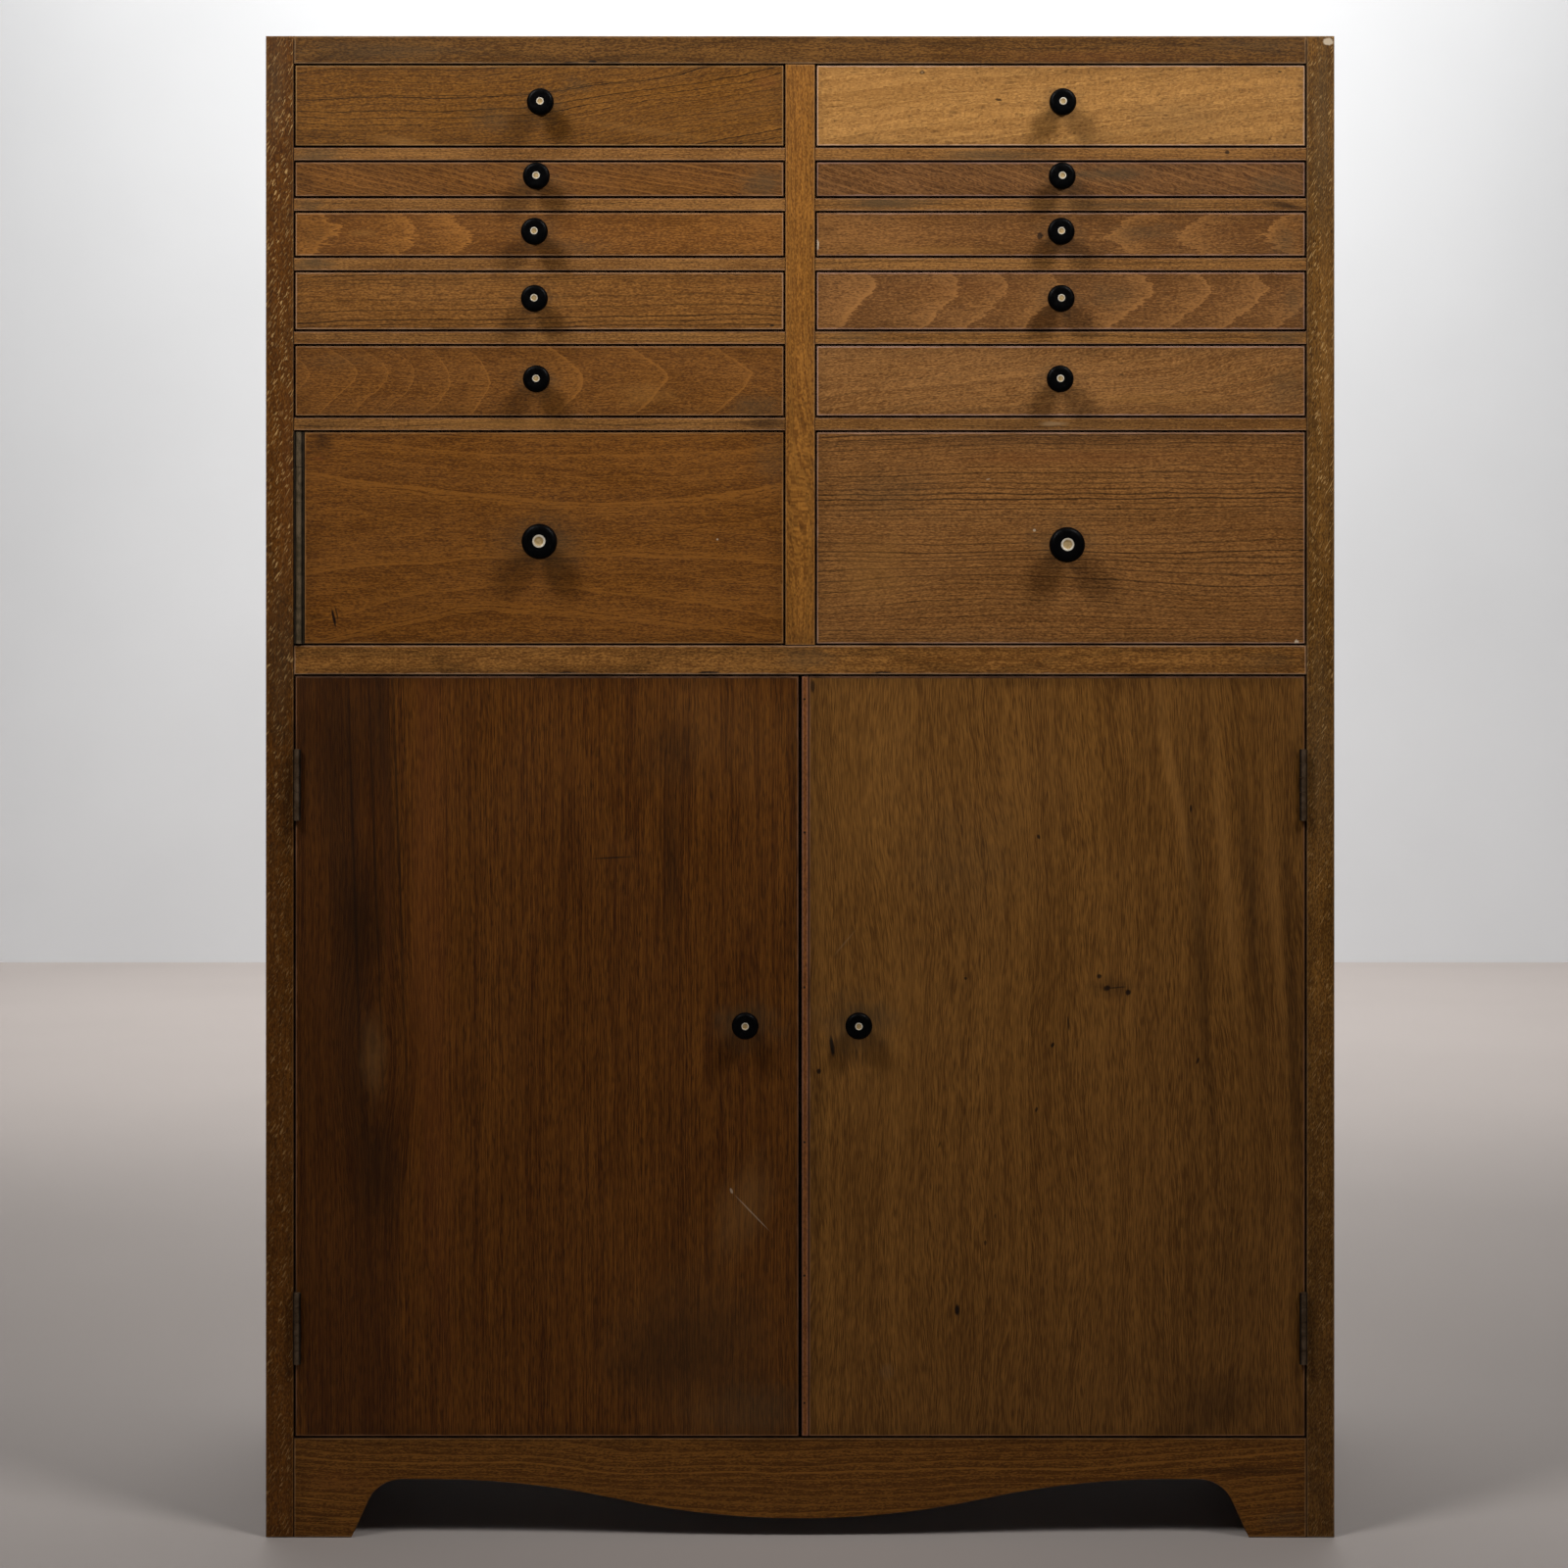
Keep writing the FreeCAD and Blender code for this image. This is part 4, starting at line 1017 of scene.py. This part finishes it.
def arc(start, end, steps=5):
    """Points of a quarter round between two (radius, y) points, bulging outwards in radius first."""
    (r0, y0), (r1, y1) = start, end
    points = []
    for step in range(1, steps + 1):
        sine, cosine = (turn(math.pi / 2 * step / steps) for turn in (math.sin, math.cos))
        if r1 > r0:
            points.append((r0 + (r1 - r0) * sine, y1 + (y0 - y1) * cosine))
        else:
            points.append((r1 + (r0 - r1) * cosine, y0 + (y1 - y0) * sine))
    return points


def knob_outline(size, radius, long):
    """The outline of a knob's black part, from its foot to the seat of its disc."""
    base, neck, hole = size.base_thickness, size.neck, size.disc
    waist, head = radius - size.rounding, size.head - long
    return [
        (size.base, 0), (size.base, -base * 0.55), (size.base - 0.0004, -base),
        (neck + 0.0002, -base - 0.0008), (neck, -base - 0.0018),
        (neck, head + 0.0022), (neck + 0.0004, head + 0.0010), (neck + 0.0014, head + 0.0002), (waist, head),
        *arc((waist, head), (radius, head - size.rounding)),
        (radius, size.rounding - long), *arc((radius, size.rounding - long), (waist, -long)),
        (waist - 0.0008, -long), (hole + 0.0008, -long), (hole + 0.0003, 0.0001 - long),
        (hole, 0.0005 - long), (hole, 0.0012 - long),
    ]


def stud_outline(size, long):
    """The outline of the brass stud, whose head is the disc in the knob's face."""
    face, disc = 0.0004 - long, size.disc - 0.00005
    return [
        (disc * 0.6, face + 0.0012), (disc, face + 0.0010), (disc, face + 0.0001),
        (disc - 0.00012, face - 0.0001), (disc * 0.70, face - 0.0001),
        (disc * DISH, face + 0.00012), (disc * 0.3, face + 0.00018),
    ]


def nut_master(name, stud, thick):
    """A hexagon nut on the tail of the stud, behind wood of this thickness."""
    nut = drawn([(0.005, thick), (0.005, thick + 0.0027), (0.0045, thick + 0.003)], 6)
    bpy.ops.mesh.inset(thickness=0.0015)
    settle(nut, name, 20)
    tail = turned(name + "_tail", [(stud, thick), (stud, thick + 0.0041), (stud - 0.0004, thick + 0.0045)], 24)
    pick(tail, nut)
    bpy.ops.object.join()
    return nut


def knob_names():
    """The drawers and doors that have a knob, each on the body of its own name."""
    names = []
    for bank in BANKS:
        names += [name for name in FRONTS if name.startswith(bank)] + [f"{bank}_door"]
    return [*names, "small_door"]


class CABINET_OT_knobs(bpy.types.Operator):
    """Turn the fourteen black knobs with their brass studs and nuts"""

    bl_idname = "cabinet.knobs"
    bl_label = "Knobs"

    def execute(self, context):
        black = knob_black("knob_black_gloss")
        rim = metal("disc_rim_brass", (0.80, 0.70, 0.54), (0.88, 0.80, 0.66), 0.4, metallic=0.3, patina=0.12)
        face = metal("disc_face_brass", (0.46, 0.31, 0.13), (0.60, 0.43, 0.21), 0.45, 1.6, 0.3, 0.2)
        steel = metal("nut_steel", (0.16, 0.13, 0.10), (0.34, 0.31, 0.28))
        masters = {}
        for name in knob_names():
            wood_low, wood_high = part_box(front_of(name))
            thick = wood_high.y - wood_low.y
            low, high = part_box(f"{name}_knob")
            radius, long = (high.x - low.x) / 2, FRONT - low.y
            kind = "big" if radius > SMALL_KNOB_LIMIT else "small"
            size = getattr(context.scene, f"cabinet_{kind}_knob")
            if kind not in masters:
                knob = turned(f"{kind}_knob_master", knob_outline(size, radius, long), size.sides)
                stud = turned(f"{kind}_stud_master", stud_outline(size, long), size.sides)
                masters[kind] = [knob, stud]
            key = (kind, round(thick, 4))
            if key not in masters:
                masters[key] = [nut_master(f"{kind}_nut_master", size.stud, thick)]
            place = ((low.x + high.x) / 2, FRONT, (low.z + high.z) / 2)
            parts = zip(masters[kind] + masters[key], ("turned_knob", "stud", "nut"))
            knob, stud, nut = (copied(master, f"{name}_{part}", place) for master, part in parts)
            fit(knob, "knob_black", f"{name}_body", black)
            fit(stud, "catch_brass", f"{name}_body", rim, face)
            fit(nut, "hinge_steel", f"{name}_body", steel)
            for piece in (knob, stud, nut):
                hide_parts(f"{name}_knob")
            for polygon in stud.data.polygons:
                out = polygon.center - Vector(place)
                polygon.material_index = int(math.hypot(out.x, out.z) < size.disc * (DISH + 0.05))
        for master in sum(masters.values(), []):
            bpy.data.objects.remove(master)
        return {"FINISHED"}


# Hinges, screws and pins


def screw_master(name, radius):
    """A countersunk screw head lying in the YZ plane, its slot upright, its face towards +X."""
    pick()
    bpy.ops.mesh.primitive_cylinder_add(vertices=28, radius=radius, depth=0.0006, rotation=(0, math.pi / 2, 0))
    head = bpy.context.object
    bpy.ops.object.transform_apply(location=False, rotation=True, scale=False)
    edit(head)
    bpy.ops.mesh.select_all(action="DESELECT")
    bpy.ops.object.mode_set(mode="OBJECT")
    for edge in head.data.edges:
        edge.select = all(head.data.vertices[n].co.x > 0 for n in edge.vertices)
    bpy.ops.object.mode_set(mode="EDIT")
    bpy.ops.mesh.bevel(offset=0.0002, segments=2)
    settle(head, name)
    pick()
    bpy.ops.mesh.primitive_cube_add(size=1, location=(0.0003, 0, 0), scale=(0.0005, radius * 0.3, radius * 2.4))
    slot = bpy.context.object
    cut = head.modifiers.new("slot", "BOOLEAN")
    cut.object = slot
    cut.operation = "DIFFERENCE"
    pick(head)
    bpy.ops.object.modifier_apply(modifier="slot")
    bpy.data.objects.remove(slot)
    return head


class CABINET_OT_hardware(bpy.types.Operator):
    """Finish the hinges and catches, and drive the hinge screws and the pins of the meeting strip"""

    bl_idname = "cabinet.hardware"
    bl_label = "Hinges, screws and pins"

    def execute(self, context):
        sizes = context.scene.cabinet_sizes
        hinge = context.scene.cabinet_colours.hinge
        steel = metal("hinge_steel_dull", hinge, (0.105, 0.068, 0.040), 0.5, 6.0, 0.15, 0.35, 0.2, (358.2, 2.8))
        brass = metal("catch_brass_dull", (0.32, 0.22, 0.09), (0.55, 0.42, 0.2))
        piano = (0.080, 0.056, 0.028), (0.150, 0.102, 0.055)
        piano = metal("piano_hinge_dull", *piano, 0.55, 6.0, 0.2, 0.3, 0.3, (357.3, 3.1))
        screws = metal("screw_steel", (0.12, 0.10, 0.08), (0.42, 0.38, 0.32), rough=0.4)
        for node in ("frame_hinge_leaves", "left_door_hinge_leaves", "right_door_hinge_leaves", "hinge_pins"):
            dress(node, steel)
        for node in ("piano_hinge_frame_leaf", "small_door_hinge_leaf"):
            dress(node, piano)
        dress("bullet_catches", brass)
        self.butt_screws(sizes, screws)
        self.piano_screws(sizes, screws)
        self.strip_pins(sizes, steel)
        return {"FINISHED"}

    def drive(self, master, name, place, face, turn, body, material):
        """One screw: its head proud of the leaf by a hair, facing +X or -X, its slot turned."""
        x, y, z = place
        screw = copied(master, name, (x - face * 0.0002, y, z), (turn, 0, 0 if face > 0 else math.pi))
        fit(screw, "hinge_steel", body, material)

    def butt_screws(self, sizes, material):
        """Three screws in each leaf, the middle one set further in."""
        master = screw_master("butt_screw_master", sizes.butt_screw)
        for bank, hand in BANKS.items():
            low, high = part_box(f"{bank}_door_hinge_leaves")
            frame_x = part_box(f"{bank}_side")[1 if hand < 0 else 0].x - hand * sizes.butt_leaf
            door_x = frame_x - hand * sizes.butt_spread
            door = f"{bank}_door_body"
            for level, foot in enumerate((low.z, high.z - sizes.butt_length)):
                for number, (share, setback) in enumerate(((0.16, -0.0012), (0.5, 0.0022), (0.84, -0.0012))):
                    y, z = FRONT + sizes.butt_screw_setback + setback, foot + sizes.butt_length * share
                    name = f"screw_{bank}_{level}_{number}"
                    turn = 0.5 + 1.3 * number + level
                    self.drive(master, f"frame_{name}", (frame_x, y, z), -hand, turn, "case", material)
                    self.drive(master, f"door_{name}", (door_x, y, z), hand, turn + 0.8, door, material)
        bpy.data.objects.remove(master)

    def piano_screws(self, sizes, material):
        """One row of screws down each leaf."""
        master = screw_master("piano_screw_master", sizes.piano_screw)
        low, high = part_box("piano_hinge_frame_leaf")
        frame_x = low.x + sizes.piano_leaf
        door_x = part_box("small_door_hinge_leaf")[1].x - sizes.piano_leaf
        leaves = ("frame", frame_x, 1, 0.4, "case"), ("door", door_x, -1, 1.1, "small_door_body")
        y = FRONT + sizes.piano_screw_setback
        for number in range(sizes.piano_screws):
            z = low.z + (high.z - low.z) * (number + 0.5) / sizes.piano_screws
            for leaf, x, face, turn, body in leaves:
                name = f"piano_{leaf}_screw_{number}"
                self.drive(master, name, (x, y, z), face, turn + number, body, material)
        bpy.data.objects.remove(master)

    def strip_pins(self, sizes, material):
        """Small panel pins down the face of the meeting strip."""
        low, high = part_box("meeting_strip")
        radius = sizes.pin_radius
        outline = [(radius, 0.0002), (radius, -0.00005), (radius * 0.7, -0.00012), (radius * 0.25, -0.00004)]
        master = turned("pin_master", outline, 16)
        for number, z in enumerate(STRIP_PINS):
            pin = copied(master, f"strip_pin_{number}", ((low.x + high.x) / 2 - 0.0004, FRONT, z))
            fit(pin, "hinge_steel", "right_door_body", material)
        bpy.data.objects.remove(master)


# The stage


class CABINET_OT_stage(bpy.types.Operator):
    """Lay the pale floor and wall, and set the lights and the camera"""

    bl_idname = "cabinet.stage"
    bl_label = "Stage, lights and camera"

    def plane(self, name, colour, rough, place, turn=0.0):
        """A large plain surface with the faintest clouding."""
        pick()
        bpy.ops.mesh.primitive_plane_add(size=30, location=place, rotation=(turn, 0, 0))
        plane = settle(bpy.context.object, name)
        material, place = new_material(f"{name}_plain")
        cloud = place.noise((900, 900, 900), 3).ramp(0.3, 0.7, 0, 1)
        tint = cloud.between(tinted(colour, (0.97,) * 3), tinted(colour, (1.03,) * 3))
        coat(plane.data, surface(material, tint, rough))
        return plane

    def lamp(self, name, energy, size, place, aim, spread):
        data = bpy.data.lights.new(name, "AREA")
        data.energy, data.size, data.spread = energy, size, math.radians(spread)
        data.color = (1, 0.985, 0.96)
        obj = bpy.data.objects.new(name, data)
        bpy.context.scene.collection.objects.link(obj)
        obj.location = place
        obj.rotation_mode = "QUATERNION"
        obj.rotation_quaternion = (Vector(aim) - Vector(place)).to_track_quat("-Z", "Y")
        obj.visible_camera = False

    def execute(self, context):
        stage = context.scene.cabinet_stage
        wall_y = stage.wall_distance
        floor = self.plane("floor", stage.floor_colour, 0.7, (0, 0, -0.0002))
        wall = self.plane("wall", stage.wall_colour, 0.8, (0, wall_y, 4), math.pi / 2)

        for bank, hand in BANKS.items():
            place = (hand * stage.lamp_spread, stage.lamp_front, stage.lamp_height)
            self.lamp(f"{bank}_lamp", stage.lamp_power, stage.lamp_size, place, (0, FRONT, 1.15), 74)
        self.lamp("wall_lamp", stage.wall_power, 3.0, (0, wall_y - 2.4, 4.6), (0, wall_y, 1.9), 110)
        self.lamp("rear_lamp", stage.rear_power, 4.0, (0, 2.2, 4.0), (0, 2.2, 0), 150)
        self.lamp("floor_lamp", stage.floor_power, 2.0, (0, -3.6, 3.6), (0, -3.6, 0), 84)
        self.world(context, stage)

        data = bpy.data.cameras.new("camera")
        data.sensor_width, data.lens, data.shift_y = 36, stage.lens, stage.shift
        camera = bpy.data.objects.new("camera", data)
        context.scene.collection.objects.link(camera)
        camera.location = (stage.camera_x, FRONT - stage.camera_distance, stage.camera_height)
        camera.rotation_euler = (math.pi / 2, 0, 0)
        context.scene.camera = camera
        context.scene.view_settings.view_transform = "Standard"
        return {"FINISHED"}

    def world(self, context, stage):
        """Weak even light from all round, and a pale surround where no wall stands."""
        world = bpy.data.worlds.new("studio")
        world.use_nodes = True
        context.scene.world = world
        tree = world.node_tree
        tree.nodes.clear()
        strength = add(tree, "LightPath", {}, "Is Camera Ray") * (stage.surround - stage.fill) + stage.fill
        shade = made_from("Background", {"Color": (1, 0.99, 0.97, 1), "Strength": strength})
        feed(tree.nodes.new("ShaderNodeOutputWorld"), {"Surface": shade})


# Settings


def a_colour(name, default, description):
    return FloatVectorProperty(
        name=name, description=description, default=default, subtype="COLOR", min=0, max=1
    )


def a_length(name, default, description):
    return FloatProperty(name=name, description=description, default=default, unit="LENGTH", min=0)


def a_place(name, default, description):
    return FloatProperty(name=name, description=description, default=default, unit="LENGTH")


def a_power(name, default, description):
    return FloatProperty(name=name, description=description, default=default, min=0)


def a_count(name, default, description, lowest=1):
    return IntProperty(name=name, description=description, default=default, min=lowest)


class CabinetColours(bpy.types.PropertyGroup):
    beech_dark: a_colour("Beech, dark", (0.130, 0.0460, 0.0080), "Dark tone of the oiled beech")
    beech_light: a_colour("Beech, light", (0.305, 0.1210, 0.0235), "Light tone of the oiled beech")
    # Pale colour of the arrises, rubbed bare of oil and painted lighter as their highlight
    worn_edge: a_colour("Worn edge", (0.42, 0.225, 0.115), "Where the oil is rubbed off the arrises")
    fleck: a_colour("Ray fleck", (0.56, 0.33, 0.12), "Pale ray flecks on the case edges")
    left_veneer_dark: a_colour("Left veneer, dark", (0.062, 0.0168, 0.0017), "Dark tone of the left door")
    left_veneer_light: a_colour("Left veneer, light", (0.169, 0.0572, 0.0060), "Light tone of the left door")
    right_veneer_dark: a_colour("Right veneer, dark", (0.112, 0.0435, 0.0073), "Dark tone of the right door")
    right_veneer_light: a_colour("Right veneer, light", (0.256, 0.1100, 0.0203), "Light tone of the right door")
    drawer_wood: a_colour("Drawer sides", (0.55, 0.38, 0.20), "Sanded softwood of the drawer boxes")
    carcass_wood: a_colour("Carcass wood", (0.45, 0.30, 0.16), "Softwood of runners, shelf and battens")
    back_ply: a_colour("Back plywood", (0.42, 0.27, 0.14), "Plywood of the back")
    knob: a_colour("Knobs", (0.0016, 0.0016, 0.0019), "Black of the knobs")
    hinge: a_colour("Hinges", (0.064, 0.037, 0.019), "Dull brown steel of the hinges")


class CabinetSizes(bpy.types.PropertyGroup):
    front_gap: a_length("Front gap", 0.001, "Gap round each front")
    butt_length: a_length("Butt hinge length", 0.051, "Height of a butt hinge")
    butt_leaf: a_length("Butt leaf thickness", 0.0012, "Thickness of a butt hinge's leaf")
    butt_spread: a_length("Butt leaf spread", 0.0003, "Gap between the closed leaves of a butt hinge")
    butt_screw: a_length("Butt screw radius", 0.0023, "Radius of a butt hinge screw's head")
    butt_screw_setback: a_length("Butt screw setback", 0.0095, "From the front to the butt hinge screws")
    piano_leaf: a_length("Piano leaf thickness", 0.0009, "Thickness of the piano hinge's leaf")
    piano_screw: a_length("Piano screw radius", 0.0017, "Radius of a piano hinge screw's head")
    piano_screw_setback: a_length("Piano screw setback", 0.0095, "From the front to the piano hinge screws")
    piano_screws: a_count("Piano screws", 4, "Screws in each leaf of the piano hinge")
    pin_radius: a_length("Pin radius", 0.0008, "Radius of a panel pin's head")


class SmallKnobSizes(bpy.types.PropertyGroup):
    head: a_length("Head", 0.007, "Depth of the knob's head")
    rounding: a_length("Rounding", 0.003, "Rounding of the head's rim")
    neck: a_length("Neck radius", 0.0052, "Radius of the neck")
    base: a_length("Base radius", 0.007, "Radius of the foot")
    base_thickness: a_length("Base thickness", 0.0015, "Thickness of the foot")
    disc: a_length("Disc radius", 0.0027, "Radius of the brass disc")
    stud: a_length("Stud radius", 0.0016, "Radius of the stud")
    sides: a_count("Sides", 56, "Steps round the knob", 12)


class BigKnobSizes(bpy.types.PropertyGroup):
    head: a_length("Head", 0.009, "Depth of the knob's head")
    rounding: a_length("Rounding", 0.0038, "Rounding of the head's rim")
    neck: a_length("Neck radius", 0.0068, "Radius of the neck")
    base: a_length("Base radius", 0.009, "Radius of the foot")
    base_thickness: a_length("Base thickness", 0.0015, "Thickness of the foot")
    disc: a_length("Disc radius", 0.0047, "Radius of the brass disc")
    stud: a_length("Stud radius", 0.002, "Radius of the stud")
    sides: a_count("Sides", 64, "Steps round the knob", 12)


class StageSettings(bpy.types.PropertyGroup):
    floor_colour: a_colour("Floor", (0.44, 0.395, 0.375), "Colour of the floor")
    wall_colour: a_colour("Wall", (0.79, 0.81, 0.84), "Colour of the wall")
    wall_distance: a_length("Wall distance", 4.3, "From the cabinet to the wall")
    lamp_power: a_power("Lamp power", 5.35, "Power of each front lamp in watts")
    lamp_size: a_length("Lamp size", 0.6, "Side of each front lamp")
    lamp_spread: a_length("Lamp spread", 1.05, "From the middle to each front lamp")
    lamp_height: a_length("Lamp height", 2.2, "Height of the front lamps")
    lamp_front: a_place("Lamp depth", -1.13, "Depth of the front lamps")
    wall_power: a_power("Wall lamp power", 100, "Power of the wall's lamp in watts")
    rear_power: a_power("Rear lamp power", 60, "Power of the lamp over the floor behind, in watts")
    floor_power: a_power("Floor lamp power", 14, "Power of the lamp over the floor in front, in watts")
    fill: a_power("Fill", 0.018, "Strength of the even light from all round")
    surround: a_power("Surround", 0.62, "Brightness of the surround")
    camera_x: a_place("Camera across", -0.0115, "Camera's place across")
    camera_height: a_length("Camera height", 0.593, "Height of the camera")
    camera_distance: a_length("Camera distance", 2.0, "From the front to the camera")
    lens: FloatProperty(name="Lens", description="Focal length in millimetres", default=64.4, min=1)
    shift: FloatProperty(name="Shift", description="Upright shift of the lens", default=-0.05)


SETTINGS = {
    "cabinet_colours": CabinetColours,
    "cabinet_sizes": CabinetSizes,
    "cabinet_small_knob": SmallKnobSizes,
    "cabinet_big_knob": BigKnobSizes,
    "cabinet_stage": StageSettings,
}
OPERATORS = (
    CABINET_OT_case, CABINET_OT_drawers, CABINET_OT_doors, CABINET_OT_inside,
    CABINET_OT_knobs, CABINET_OT_hardware, CABINET_OT_stage,
)


class CABINET_PT_panel(bpy.types.Panel):
    """The cabinet's pieces and their settings"""

    bl_idname = "CABINET_PT_panel"
    bl_label = "Haberdashery cabinet"
    bl_space_type = "VIEW_3D"
    bl_region_type = "UI"
    bl_category = "Cabinet"

    def draw(self, context):
        for operator in OPERATORS:
            self.layout.operator(operator.bl_idname)
        for name, settings in SETTINGS.items():
            column = self.layout.box().column()
            column.label(text=label_of(name))
            for item in settings.__annotations__:
                column.prop(getattr(context.scene, name), item)


def register():
    for name, settings in SETTINGS.items():
        bpy.utils.register_class(settings)
        setattr(bpy.types.Scene, name, PointerProperty(type=settings))
    for cls in (*OPERATORS, CABINET_PT_panel):
        bpy.utils.register_class(cls)


def unregister():
    for cls in reversed((*OPERATORS, CABINET_PT_panel)):
        bpy.utils.unregister_class(cls)
    for name, settings in reversed(SETTINGS.items()):
        delattr(bpy.types.Scene, name)
        bpy.utils.unregister_class(settings)


def main():
    register()
    for make in GROUPS:
        make()
    bpy.ops.cabinet.case()
    bpy.ops.cabinet.drawers()
    bpy.ops.cabinet.doors()
    bpy.ops.cabinet.inside()
    bpy.ops.cabinet.knobs()
    bpy.ops.cabinet.hardware()
    bpy.ops.cabinet.stage()
    bpy.context.view_layer.update()


if __name__ == "__main__":
    main()
